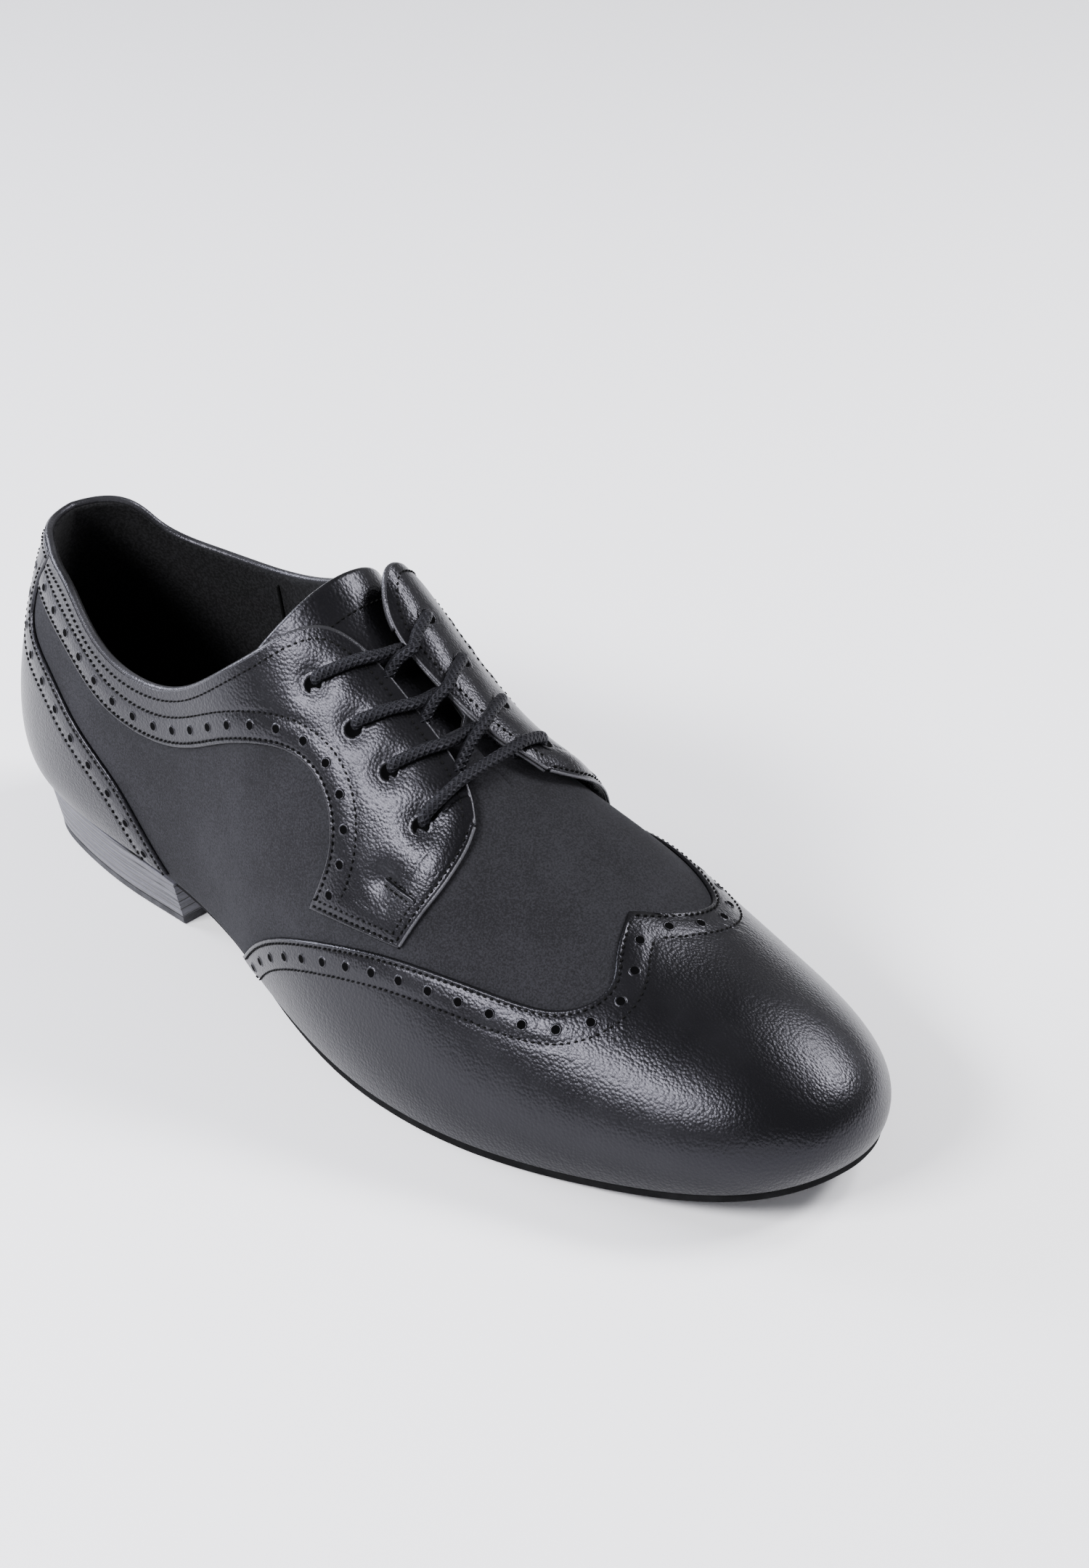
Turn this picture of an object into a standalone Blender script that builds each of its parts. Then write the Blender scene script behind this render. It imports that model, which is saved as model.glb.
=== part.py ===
# Ballroom dance shoe, a right shoe: brogue derby on a low stacked heel.
# Metres, +Z up, toe towards +X, inner (medial) side towards +Y.
# Everything is laid out on one last: a section surface whose place is given by
#   station  0 at the heel's back to 1 at the toe tip, along either side
#   rise     0 at the feather line (where upper meets sole) to 1 at the ridge on top
import bpy
import bmesh
import numpy as np
from math import pi
from mathutils import Vector

# Driving sizes
SOLE_LENGTH = 0.296        # heel back to toe tip along the feather line
BALL_WIDTH = 0.094         # feather line across the ball
INSTEP_HEIGHT = 0.0942     # ridge over the outsole's top at half length
HEEL_HEIGHT = 0.0155       # floor to the outsole's underside at the heel
TOP_PIECE = 0.0022         # thickness of the heel's top piece
SOLE_THICKNESS = 0.0028    # outsole
TOE_SPRING = 0.0105        # lift of the outsole's underside at the toe tip
WELT = 0.0006              # outsole standing out past the upper, waist to toe
HEEL_TAPER = 0.0026        # heel's foot set in from its top all round
HEEL_RAKE = 0.0010         # heel's foot set forward at the back
UPPER_WALL = 0.0018        # nubuck with its lining
LEATHER = 0.0012           # toe, counter and facing leather laid over the upper
TONGUE_WALL = 0.0026       # padded tongue
TONGUE_LENGTH = 0.058      # top edge to front end, along the ridge
INSOLE_THICKNESS = 0.0025
LACE = 0.0033              # round cord
EYELET_BORE = 0.0040
CLEARANCE = 0.0003         # between any two pieces
LATERAL_LIFT = 0.0015      # facings stand off the instep by this much at their edge
MEDIAL_LIFT = 0.0052
MEDIAL_FLARE = 0.0040      # how much more the medial facing stands off at its top end
LIFT_REACH = 0.044         # distance from the ridge where that lift starts
LIFT_FULL = 0.022          # and where it is whole
LIFT_TURN = 0.008          # half width of the change from one side's lift to the other's
OUTLINE_DEPTH = 0.0032     # half thickness of the blocks that trim the leather pieces
EYELET_REACH = 0.0022      # cutters of the eyelets stand out this much past the leather
STRAND_GAP = 0.0006        # a lace strand's end stands off the unlifted last

HALF_BALL = BALL_WIDTH / 2
LATERAL, MEDIAL = -1, 1


def table(columns, *rows):
    return dict(zip(columns.split(), np.array(rows, float).T))


# Feather line: share of the length, half widths as shares of half the ball width
OUTLINE = table("share lateral medial",
                (0.000, 0.000, 0.000), (0.030, 0.415, 0.395), (0.100, 0.579, 0.570), (0.200, 0.660, 0.660),
                (0.320, 0.690, 0.617), (0.420, 0.810, 0.575), (0.520, 0.947, 0.670), (0.610, 1.010, 0.820),
                (0.680, 1.000, 0.957), (0.760, 0.905, 1.000), (0.840, 0.755, 0.925), (0.920, 0.565, 0.745),
                (0.975, 0.320, 0.500), (1.000, -0.105, 0.105))

# Ridge: height over the outsole as a share of the instep height
RIDGE = table("share height",
              (0.10, 1.273), (0.28, 1.440), (0.38, 1.308), (0.44, 1.126), (0.50, 1.000), (0.58, 0.870),
              (0.66, 0.735), (0.74, 0.592), (0.82, 0.464), (0.90, 0.379))
# and its sideways place in half ball widths
SPINE = table("share sideways",
              (0.10, 0.011), (0.30, 0.011), (0.50, -0.021), (0.65, -0.032), (0.75, 0.000), (0.82, 0.038),
              (0.90, 0.096))

# Section sides: how far they swell past the feather line (half ball widths),
# where they swell (share of the height) and how broad the crown is (share of the width)
SECTION = table("share swell_lateral swell_medial belly_lateral belly_medial crown_lateral crown_medial",
                (0.00, 0.300, 0.300, 0.20, 0.20, 0.53, 0.53),
                (0.10, 0.320, 0.275, 0.20, 0.21, 0.38, 0.42),
                (0.22, 0.190, 0.190, 0.23, 0.22, 0.74, 0.76),
                (0.34, 0.170, 0.190, 0.25, 0.28, 0.81, 0.80),
                (0.44, 0.170, 0.210, 0.34, 0.46, 0.74, 0.90),
                (0.54, 0.153, 0.170, 0.40, 0.45, 0.62, 0.70),
                (0.64, 0.128, 0.145, 0.42, 0.47, 0.56, 0.68),
                (0.76, 0.128, 0.132, 0.47, 0.51, 0.60, 0.68),
                (0.88, 0.149, 0.149, 0.50, 0.50, 0.65, 0.67),
                (1.00, 0.153, 0.153, 0.50, 0.50, 0.68, 0.68))

# Underside of the outsole along the length, in shares of it
ARCH_BACK_SHARE, ARCH_FRONT_SHARE, TOE_RISE_SHARE = 0.16, 0.62, 0.71
SEAT_DROP_SHARE, SEAT_END_SHARE = 0.03, 0.20     # the seat rises a little to the very back
FLARE_END_SHARE, FLARE_RUN_SHARE = 0.60, 0.14     # the flare fades over this run, up to its end
FAN_SHARE = 0.25                                 # sections fan round heel and toe over this share
BREAST_SHARE = 0.273                             # front face of the heel

# Collar and facing edge of the upper, heel back to the throat, then the tab's front corner.
# "at" is the way along each piece that ends there, 0 to 1
TOPLINE_LATERAL = table("share rise at",
                        (0.000, 0.553, -0.12), (0.023, 0.546, -0.08), (0.074, 0.520, 0.00), (0.130, 0.483, 0.12),
                        (0.197, 0.411, 0.24), (0.268, 0.397, 0.34), (0.330, 0.448, 0.42), (0.399, 0.604, 0.52),
                        (0.437, 0.767, 0.60), (0.460, 0.850, 0.65), (0.491, 0.893, 0.70), (0.535, 0.904, 0.78),
                        (0.580, 0.897, 0.86), (0.617, 0.868, 0.93), (0.641, 0.807, 1.00))
TOPLINE_MEDIAL = table("share rise at",
                       (0.000, 0.553, -0.12), (0.017, 0.541, -0.08), (0.060, 0.485, 0.00), (0.129, 0.433, 0.12),
                       (0.210, 0.415, 0.24), (0.284, 0.450, 0.34), (0.345, 0.505, 0.42), (0.410, 0.605, 0.52),
                       (0.446, 0.770, 0.60), (0.459, 0.895, 0.65), (0.481, 0.976, 0.70), (0.532, 0.990, 0.78),
                       (0.580, 0.965, 0.86), (0.617, 0.932, 0.93), (0.641, 0.870, 1.00))
# Lower edge of collar band and tab; a repeated "at" is a corner
BAND_LATERAL = table("share rise at",
                     (0.057, 0.455, 0.00), (0.134, 0.390, 0.12), (0.209, 0.318, 0.24), (0.298, 0.326, 0.36),
                     (0.386, 0.432, 0.48), (0.468, 0.570, 0.60), (0.516, 0.563, 0.70), (0.533, 0.471, 0.78),
                     (0.523, 0.343, 0.86), (0.523, 0.343, 0.86), (0.579, 0.391, 0.93), (0.628, 0.431, 1.00))
BAND_MEDIAL = table("share rise at",
                    (0.052, 0.412, 0.00), (0.129, 0.350, 0.12), (0.209, 0.333, 0.24), (0.298, 0.375, 0.36),
                    (0.386, 0.480, 0.48), (0.468, 0.585, 0.60), (0.516, 0.578, 0.70), (0.533, 0.490, 0.78),
                    (0.523, 0.375, 0.86), (0.523, 0.375, 0.86), (0.579, 0.430, 0.93), (0.628, 0.476, 1.00))
TAB_FRONT = table("share rise at",
                  (0.628, 0.431, 0.0), (0.639, 0.551, 0.3), (0.646, 0.657, 0.6), (0.646, 0.741, 0.8),
                  (0.641, 0.807, 1.0))
TAB_FRONT_MEDIAL = table("share rise at",
                         (0.628, 0.476, 0.0), (0.639, 0.596, 0.3), (0.646, 0.712, 0.6), (0.646, 0.796, 0.8),
                         (0.641, 0.870, 1.0))
# Front edge of the heel counter, sole to collar
COUNTER_LATERAL = table("share rise at",
                        (0.272, 0.020, 0.00), (0.246, 0.105, 0.18), (0.210, 0.188, 0.36), (0.156, 0.261, 0.54),
                        (0.109, 0.330, 0.68), (0.068, 0.373, 0.80), (0.049, 0.415, 0.88), (0.050, 0.458, 0.93),
                        (0.068, 0.560, 1.00))
COUNTER_MEDIAL = table("share rise at",
                       (0.272, 0.020, 0.00), (0.246, 0.105, 0.18), (0.210, 0.188, 0.36), (0.156, 0.261, 0.54),
                       (0.109, 0.325, 0.68), (0.064, 0.355, 0.80), (0.044, 0.385, 0.88), (0.043, 0.420, 0.93),
                       (0.056, 0.545, 1.00))
# Wing of the toe cap, from its tail at the waist to the point on the ridge
WING_LATERAL = table("share rise at",
                     (0.405, 0.045, 0.00), (0.431, 0.103, 0.08), (0.472, 0.190, 0.17), (0.514, 0.258, 0.26),
                     (0.565, 0.330, 0.36), (0.619, 0.398, 0.47), (0.669, 0.450, 0.57), (0.714, 0.496, 0.66),
                     (0.756, 0.543, 0.74), (0.786, 0.610, 0.82), (0.801, 0.698, 0.88), (0.800, 0.774, 0.92),
                     (0.790, 0.850, 0.95), (0.765, 1.000, 1.00))
WING_MEDIAL = table("share rise at",
                    (0.405, 0.045, 0.00), (0.431, 0.110, 0.08), (0.472, 0.205, 0.17), (0.514, 0.285, 0.26),
                    (0.565, 0.365, 0.36), (0.619, 0.437, 0.47), (0.669, 0.497, 0.57), (0.714, 0.555, 0.66),
                    (0.759, 0.635, 0.76), (0.775, 0.680, 0.80), (0.787, 0.761, 0.86), (0.788, 0.839, 0.91),
                    (0.781, 0.920, 0.95), (0.765, 1.000, 1.00))
WING_FOOT_RISE = 0.025          # rise where the overlays stop over the sole
THROAT_START_SHARE, THROAT_END_SHARE = 0.572, 0.582

# Lace holes on each side, where their strands cross the facings' edges and where they dive between them
EYELETS = table("share_lateral lateral edge_lateral share_medial medial edge_medial dive",
                (0.467, 0.733, 0.496, 0.498, 0.870, 0.513, 0.510),
                (0.515, 0.745, 0.544, 0.535, 0.845, 0.552, 0.553),
                (0.559, 0.743, 0.583, 0.573, 0.810, 0.591, 0.592),
                (0.605, 0.707, 0.613, 0.617, 0.800, 0.620, 0.620))
SIDE_NAME = {LATERAL: "lateral", MEDIAL: "medial"}



class Spline:
    """Natural cubic spline through rows of points."""

    def __init__(self, x, y):
        self.x = np.asarray(x, float)
        self.y = np.asarray(y, float).reshape(len(self.x), -1)
        h = np.diff(self.x)
        n = len(self.x)
        a = np.eye(n)
        b = np.zeros_like(self.y)
        for i in range(1, n - 1):
            a[i, i - 1:i + 2] = h[i - 1], 2 * (h[i - 1] + h[i]), h[i]
            b[i] = 6 * ((self.y[i + 1] - self.y[i]) / h[i] - (self.y[i] - self.y[i - 1]) / h[i - 1])
        self.curve = np.linalg.solve(a, b)

    def __call__(self, q):
        q = np.asarray(q, float)
        i = np.clip(np.searchsorted(self.x, q) - 1, 0, len(self.x) - 2)
        h = (self.x[i + 1] - self.x[i])[..., None]
        a = (self.x[i + 1] - q)[..., None] / h
        b = 1 - a
        value = (a * self.y[i] + b * self.y[i + 1]
                 + ((a ** 3 - a) * self.curve[i] + (b ** 3 - b) * self.curve[i + 1]) * h ** 2 / 6)
        return value[..., 0] if self.y.shape[1] == 1 else value


def smooth(x):
    x = np.clip(x, 0, 1)
    return x * x * (3 - 2 * x)


def station(share):
    return np.arccos(1 - 2 * np.asarray(share, float)) / pi


def length_at(w):
    return SOLE_LENGTH * (1 - np.cos(pi * w)) / 2


def underside(x):
    """Height of the outsole's underside: seat, arch, flat tread and toe spring."""
    share = x / SOLE_LENGTH
    arch = smooth((ARCH_FRONT_SHARE - share) / (ARCH_FRONT_SHARE - ARCH_BACK_SHARE)) * HEEL_HEIGHT * (1 - SEAT_DROP_SHARE)
    back = HEEL_HEIGHT * SEAT_DROP_SHARE * np.clip((SEAT_END_SHARE - share) / SEAT_END_SHARE, 0, 1)
    front = TOE_SPRING * np.clip((share - TOE_RISE_SHARE) / (1 - TOE_RISE_SHARE), 0, 1) ** 2
    return arch + back + front


lateral_line = Spline(station(OUTLINE["share"]), -OUTLINE["lateral"] * HALF_BALL)
medial_line = Spline(station(OUTLINE["share"]), OUTLINE["medial"] * HALF_BALL)
ridge_line = Spline(RIDGE["share"] * SOLE_LENGTH, RIDGE["height"] * INSTEP_HEIGHT)
spine_line = Spline(SPINE["share"] * SOLE_LENGTH, SPINE["sideways"] * HALF_BALL)
section_line = Spline(station(SECTION["share"]), np.stack(list(SECTION.values())[1:], 1))


def ridge_height(x):
    return underside(x) + SOLE_THICKNESS + CLEARANCE + ridge_line(x)


def spine_place(x):
    """Sections stand square to the length, and fan out round heel and toe."""
    fan = FAN_SHARE * SOLE_LENGTH
    heel = fan / 2 + x ** 2 / (2 * fan)
    toe = SOLE_LENGTH - fan / 2 - (SOLE_LENGTH - x) ** 2 / (2 * fan)
    return np.where(x < fan, heel, np.where(x > SOLE_LENGTH - fan, toe, x))


def bare_last(w, t, side, flap, even=False):
    """Points of the last. flap is the share of the length where the facings' lift has faded;
    even gives both sides the lateral one, as the tongue under them has it."""
    x = length_at(w)
    y = np.where(side < 0, lateral_line(w), medial_line(w))
    cx = spine_place(x)
    cy = spine_line(cx)
    reach = np.hypot(x - cx, y - cy)
    dx, dy = (x - cx) / reach, (y - cy) / reach
    top = ridge_height(cx)
    slope = (ridge_height(cx + 1e-5) - ridge_height(cx - 1e-5)) / 2e-5
    foot = underside(x) + SOLE_THICKNESS + CLEARANCE
    s = section_line(w)
    pick = np.where(side < 0, 0, 1)
    row = np.arange(len(s))
    swell = s[row, pick] * HALF_BALL
    belly = s[row, 2 + pick]
    crown = s[row, 4 + pick]
    b0, b1, b2, b3 = (1 - t) ** 3, 3 * t * (1 - t) ** 2, 3 * t * t * (1 - t), t ** 3
    r = b0 * reach + b1 * (reach + swell) + b2 * crown * reach
    z = b0 * foot + b1 * (foot + belly * (top - foot)) + b2 * (top + slope * dx * crown * reach) + b3 * top
    px, py = cx + dx * r, cy + dy * r
    share = px / SOLE_LENGTH
    mean, half = (LATERAL_LIFT + MEDIAL_LIFT) / 2, (MEDIAL_LIFT - LATERAL_LIFT) / 2
    across = side * r / LIFT_TURN
    flare = MEDIAL_FLARE / 2 * (1 + np.tanh(2 * across - 1)) * smooth((FLARE_END_SHARE - share) / FLARE_RUN_SHARE)
    lift = np.full(len(r), LATERAL_LIFT) if even else mean + half * np.tanh(across) + flare
    lift *= smooth((LIFT_REACH - r) / (LIFT_REACH - LIFT_FULL))
    lift *= smooth((share - 0.40) / 0.06) * smooth((flap - share) / 0.05)
    return np.stack([px, py, z + lift], -1)


QUARTER_FLAP_SHARE, FACING_FLAP_SHARE = 0.600, 0.670


def face_normal(w, t, side, flap, even=False):
    t = np.minimum(t, 0.985)
    e = 1e-3
    along = bare_last(w + e, t, side, flap, even) - bare_last(w - e, t, side, flap, even)
    up = bare_last(w, t + e, side, flap, even) - bare_last(w, t - e, side, flap, even)
    n = np.cross(along, up) * -side[:, None]
    return n / np.linalg.norm(n, axis=1)[:, None]


def on_last(w, t, side, offset=0.0, flap=QUARTER_FLAP_SHARE, even=False):
    """Points on the last, moved out along its normal by offset."""
    w, t, side, offset = [np.ravel(a).astype(float) for a in np.broadcast_arrays(w, t, side, offset)]
    w, t = np.clip(w, 0, 1), np.clip(t, 0, 1)
    shared = (t > 0.9995) | (w < 1e-6) | (w > 1 - 1e-6)
    p = bare_last(w, t, side, flap, even)
    n = face_normal(w, t, side, flap, even)
    if shared.any():
        other = face_normal(w[shared], t[shared], -side[shared], flap, even)
        n[shared] += other
        n /= np.linalg.norm(n, axis=1)[:, None]
    return p + n * offset[:, None]


def trace(rows, at):
    """Read a control table at given ways along; a repeated way is a corner."""
    ways = rows["at"]
    cuts = [0] + [i + 1 for i in range(len(ways) - 1) if ways[i] == ways[i + 1]] + [len(ways)]
    xy = np.stack([station(rows["share"]), rows["rise"]], 1)
    at = np.asarray(at, float)
    out = np.empty((len(at), 2))
    for a, b in zip(cuts[:-1], cuts[1:]):
        inside = (at >= ways[a] - 1e-9) & (at <= ways[b - 1] + 1e-9)
        out[inside] = Spline(ways[a:b], xy[a:b])(at[inside])
    return out


def coons(bottom, top, left, right):
    """Fill four boundary curves of (station, rise) with a grid."""
    u = np.linspace(0, 1, len(bottom))[:, None, None]
    v = np.linspace(0, 1, len(left))[None, :, None]
    ruled = (1 - v) * bottom[:, None] + v * top[:, None] + (1 - u) * left[None] + u * right[None]
    corners = ((1 - u) * (1 - v) * bottom[0] + u * (1 - v) * bottom[-1]
               + (1 - u) * v * top[0] + u * v * top[-1])
    return ruled - corners


def quads(m, n, start=0):
    return [(start + i * n + j, start + (i + 1) * n + j, start + (i + 1) * n + j + 1, start + i * n + j + 1)
            for i in range(m - 1) for j in range(n - 1)]


pieces = {}
cutters = {}


def shell(name, outside, inside, faces):
    """Close a sheet given twice, outside and inside, into one solid."""
    key = {}
    order = []
    index = []
    for k, point in enumerate(outside):
        tag = tuple(np.round(point * 1e6).astype(int))
        if tag not in key:
            key[tag] = len(order)
            order.append(k)
        index.append(key[tag])
    n = len(order)
    sheet = []
    for face in faces:
        ring = [index[k] for k in face]
        ring = [k for i, k in enumerate(ring) if k != ring[i - 1]]
        if len(ring) > 2:
            sheet.append(tuple(ring))
    edges = {}
    for face in sheet:
        for a, b in zip(face, face[1:] + face[:1]):
            edges[(a, b)] = edges.get((a, b), 0) + 1
    rim = [(a, b) for (a, b) in edges if (b, a) not in edges]
    solid = list(sheet)
    solid += [tuple(k + n for k in reversed(face)) for face in sheet]
    solid += [(b, a, a + n, b + n) for a, b in rim]
    points = np.vstack([outside[order], inside[order]])
    pieces[name] = (points, solid)


def sheet_on_last(name, grids, low, high, flap=QUARTER_FLAP_SHARE, side_of=None):
    """A leather piece between two offsets of the last, from grids of (station, rise)."""
    outer, inner, faces = [], [], []
    count = 0
    for grid, side in grids:
        m, n = grid.shape[:2]
        w, t = grid[..., 0].ravel(), grid[..., 1].ravel()
        sides = np.where(w < 0, LATERAL, MEDIAL) if side == 0 else np.full(len(w), side)
        outer.append(on_last(np.abs(w), t, sides, high, flap))
        inner.append(on_last(np.abs(w), t, sides, low, flap))
        ring = quads(m, n, count)
        faces += ring if side != MEDIAL else [f[::-1] for f in ring]
        count += m * n
    shell(name, np.vstack(outer), np.vstack(inner), faces)


def spread(n, tight=0.35):
    """Stations closer together at mid length, where they lie further apart in metres."""
    k = np.linspace(0, 1, n)
    return k + tight * np.sin(2 * pi * k) / (2 * pi)


def edge_rise(side, w):
    """Rise of the upper's top edge at a station: collar, facing edge, then closed on the ridge."""
    rows = TOPLINE_LATERAL if side < 0 else TOPLINE_MEDIAL
    line = trace(rows, np.linspace(rows["at"][0], rows["at"][-1], 300))
    rise = np.interp(w, line[:, 0], line[:, 1])
    close = (w - station(THROAT_START_SHARE)) / (station(THROAT_END_SHARE) - station(THROAT_START_SHARE))
    return np.where(close <= 0, rise, rise + (1 - rise) * np.clip(close, 0, 1))


def upper_grid(first=0.0, last=1.0):
    """The upper's own grid of (station, rise) on each side; the overlays are laid on the same one."""
    w = spread(38)
    for share in (THROAT_START_SHARE, THROAT_END_SHARE):
        w[np.abs(w - station(share)).argmin()] = station(share)
    w = w[(w >= station(first) - 1e-9) & (w <= station(last) + 1e-9)]
    v = np.linspace(0, 1, 8)
    grids = []
    for side in (LATERAL, MEDIAL):
        rise = edge_rise(side, w)
        grids.append((np.stack([np.broadcast_to(w[:, None], (len(w), 8)), v * rise[:, None]], -1), side))
    return grids


def make_upper():
    sheet_on_last("upper", upper_grid(), -UPPER_WALL, 0.0)


def overlay(name, grids, outline_grids, flap=QUARTER_FLAP_SHARE):
    """A leather layer over the upper, trimmed by a thicker block of the wanted outline."""
    sheet_on_last(name, grids, CLEARANCE, CLEARANCE + LEATHER, flap)
    sheet_on_last("outline_" + name, outline_grids, CLEARANCE - OUTLINE_DEPTH, CLEARANCE + OUTLINE_DEPTH, flap)
    cutters["outline_" + name] = pieces.pop("outline_" + name)


def make_wing_tip():
    across, along = 6, 30
    on_edge, foot = 0.72, np.linspace(0, 1, along)
    ridge_from = station(WING_LATERAL["share"][-1])
    tail = station(WING_LATERAL["share"][0])
    grids = []
    for side, rows in ((LATERAL, WING_LATERAL), (MEDIAL, WING_MEDIAL)):
        first = foot[foot <= on_edge]
        rest = (foot[foot > on_edge] - on_edge) / (1 - on_edge)
        edge = trace(rows, first / first[-1])
        ridge = np.stack([ridge_from + (1 - ridge_from) * rest, np.ones(len(rest))], 1)
        top = np.vstack([edge, ridge])
        bottom = np.stack([tail + (1 - tail) * foot, np.full(along, WING_FOOT_RISE)], 1)
        v = np.linspace(0, 1, across)[:, None]
        left = bottom[0] * (1 - v) + top[0] * v
        right = bottom[-1] * (1 - v) + top[-1] * v
        grids.append((coons(bottom, top, left, right), side))
    overlay("wing_tip", upper_grid(0.36, 1.0), grids)


def make_counter():
    across, up = 16, 15
    v = np.linspace(0, 1, up)
    left = trace(COUNTER_LATERAL, v) * (-1, 1)
    right = trace(COUNTER_MEDIAL, v)
    k = np.linspace(0, 1, across)
    top = np.stack([left[-1, 0] + (right[-1, 0] - left[-1, 0]) * k, left[-1, 1] + (right[-1, 1] - left[-1, 1]) * k], 1)
    bottom = np.stack([left[0, 0] + (right[0, 0] - left[0, 0]) * k, np.full(across, left[0, 1])], 1)
    grid = coons(bottom, top, left, right)
    overlay("heel_counter", upper_grid(0.0, 0.34), [(grid, 0)])


def make_facing(name, side, topline, band, front):
    across = 6
    at = np.concatenate([np.linspace(0, 0.86, 30), np.linspace(0.86, 1, 5)[1:]])
    bottom, top = trace(band, at), trace(topline, at)
    top[:, 1] = np.minimum(top[:, 1] + 0.08 * smooth((0.90 - at) / 0.06), 1.0)
    v = np.linspace(0, 1, across)
    left = bottom[0] + (top[0] - bottom[0]) * v[:, None]
    right = trace(front, v)
    right[0], right[-1] = bottom[-1], top[-1]
    grid = coons(bottom, top, left, right)
    own = [(g, s) for g, s in upper_grid(0.02, 0.70) if s == side]
    overlay(name, own, [(grid, side)], FACING_FLAP_SHARE)


TONGUE_TOP_SHARE = 0.434                       # share of the length, on the ridge
TONGUE_CORNER_SHARE = 0.398                    # share where its top edge ends at the sides
TONGUE_TOP_RISE, TONGUE_FRONT_RISE = 0.62, 0.82
TONGUE_DROP = UPPER_WALL + 3 * CLEARANCE


def make_tongue():
    along, half = 12, 6
    u = np.linspace(0, 1, along)[:, None]
    v = np.linspace(0, 1, half)[None]
    front = TONGUE_TOP_SHARE + TONGUE_LENGTH / SOLE_LENGTH
    back = TONGUE_TOP_SHARE - (TONGUE_TOP_SHARE - TONGUE_CORNER_SHARE) * v ** 2
    share = back + (front - back) * u
    side_rise = TONGUE_TOP_RISE + (TONGUE_FRONT_RISE - TONGUE_TOP_RISE) * u
    rise = 1 - v * (1 - side_rise)
    grid = np.stack([station(share), rise], -1)
    outer, inner, faces = [], [], []
    for k, side in enumerate((LATERAL, MEDIAL)):
        w, t = grid[..., 0].ravel(), grid[..., 1].ravel()
        outer.append(on_last(w, t, side, -TONGUE_DROP, even=True))
        inner.append(on_last(w, t, side, -TONGUE_DROP - TONGUE_WALL, even=True))
        ring = quads(along, half, k * along * half)
        faces += ring if side == MEDIAL else [f[::-1] for f in ring]
    shell("tongue", np.vstack(outer), np.vstack(inner), faces)


def plan_line(w, out):
    """Feather line on both sides, moved outwards in plan."""
    lines = []
    for side, line in ((LATERAL, lateral_line), (MEDIAL, medial_line)):
        e = 1e-3
        a, b = w - e, w + e
        tx, ty = length_at(b) - length_at(a), line(b) - line(a)
        size = np.hypot(tx, ty)
        nx, ny = ty / size * -side, -tx / size * -side
        lines.append(np.stack([length_at(w) + nx * out, line(w) + ny * out], 1))
    ends = (w < 1e-6) | (w > 1 - 1e-6)
    middle = (lines[0] + lines[1]) / 2
    for line in lines:
        line[ends] = middle[ends]
    return lines


def slab(name, top_lines, bottom_lines, top_height, bottom_height, across=5):
    """A solid between two outlines, each a lateral and a medial line, with its own heights."""
    k = np.linspace(0, 1, across)[None, :, None]
    sheets = []
    for (lateral, medial), height in ((top_lines, top_height), (bottom_lines, bottom_height)):
        plan = (lateral[:, None] * (1 - k) + medial[:, None] * k).reshape(-1, 2)
        sheets.append(np.column_stack([plan, height(plan[:, 0])]))
    shell(name, sheets[0], sheets[1], [f for f in quads(len(top_lines[0]), across)])


def sole_top(x):
    return underside(x) + SOLE_THICKNESS


def make_outsole():
    w = spread(40)
    for share in (ARCH_FRONT_SHARE, TOE_RISE_SHARE):
        w[np.abs(w - station(share)).argmin()] = station(share)
    out = WELT * smooth((length_at(w) / SOLE_LENGTH - 0.42) / 0.15)
    lines = plan_line(w, out)
    slab("outsole", lines, lines, sole_top, underside)


def make_insole():
    w = station(np.concatenate([[0.012], np.linspace(0.035, 0.965, 26), [0.985]]))
    lines = plan_line(w, -(UPPER_WALL + 2 * CLEARANCE))
    slab("insole", lines, lines, lambda x: sole_top(x) + CLEARANCE + INSOLE_THICKNESS,
         lambda x: sole_top(x) + CLEARANCE)


def make_heel():
    breast = station(BREAST_SHARE)
    w = breast * np.linspace(0, 1, 14) ** 1.2
    back = 1 - length_at(w) / length_at(breast)

    def outline(taper):
        lines = plan_line(w, -taper * HEEL_TAPER)
        for line in lines:
            line[:, 0] += taper * HEEL_RAKE * back
        return lines

    block = HEEL_HEIGHT - CLEARANCE
    split = (TOP_PIECE + CLEARANCE) / block
    top, seam, piece, foot = outline(0), outline(1 - split), outline(1 - TOP_PIECE / block), outline(1)
    slab("heel", top, seam, lambda x: underside(x) - CLEARANCE,
         lambda x: np.full(len(x), TOP_PIECE + CLEARANCE), 4)
    slab("heel_top_piece", piece, foot, lambda x: np.full(len(x), TOP_PIECE), lambda x: np.zeros(len(x)), 4)


def tube(route, radius, sides=7, steps=10):
    """A round cord through a few points, with flat ends."""
    route = np.array(route)
    way = np.concatenate([[0], np.cumsum(np.linalg.norm(np.diff(route, axis=0), axis=1))])
    line = Spline(way, route)(np.linspace(0, way[-1], steps + 1))
    along = np.gradient(line, axis=0)
    along /= np.linalg.norm(along, axis=1)[:, None]
    up = np.cross(along, (1.0, 0.0, 0.0))
    up /= np.linalg.norm(up, axis=1)[:, None]
    across = np.cross(along, up)
    angle = np.arange(sides) * 2 * pi / sides
    ring = up[:, None] * np.cos(angle)[None, :, None] + across[:, None] * np.sin(angle)[None, :, None]
    points = (line[:, None] + ring * radius).reshape(-1, 3)
    faces = [(i * sides + j, i * sides + (j + 1) % sides, (i + 1) * sides + (j + 1) % sides, (i + 1) * sides + j)
             for i in range(steps) for j in range(sides)]
    faces += [tuple(range(sides))[::-1], tuple(steps * sides + j for j in range(sides))]
    return points, faces


def over_facing(share, rise, side, height):
    w = station(share)
    return on_last(w, rise, side, CLEARANCE + LEATHER + height, FACING_FLAP_SHARE)[0]


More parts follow.
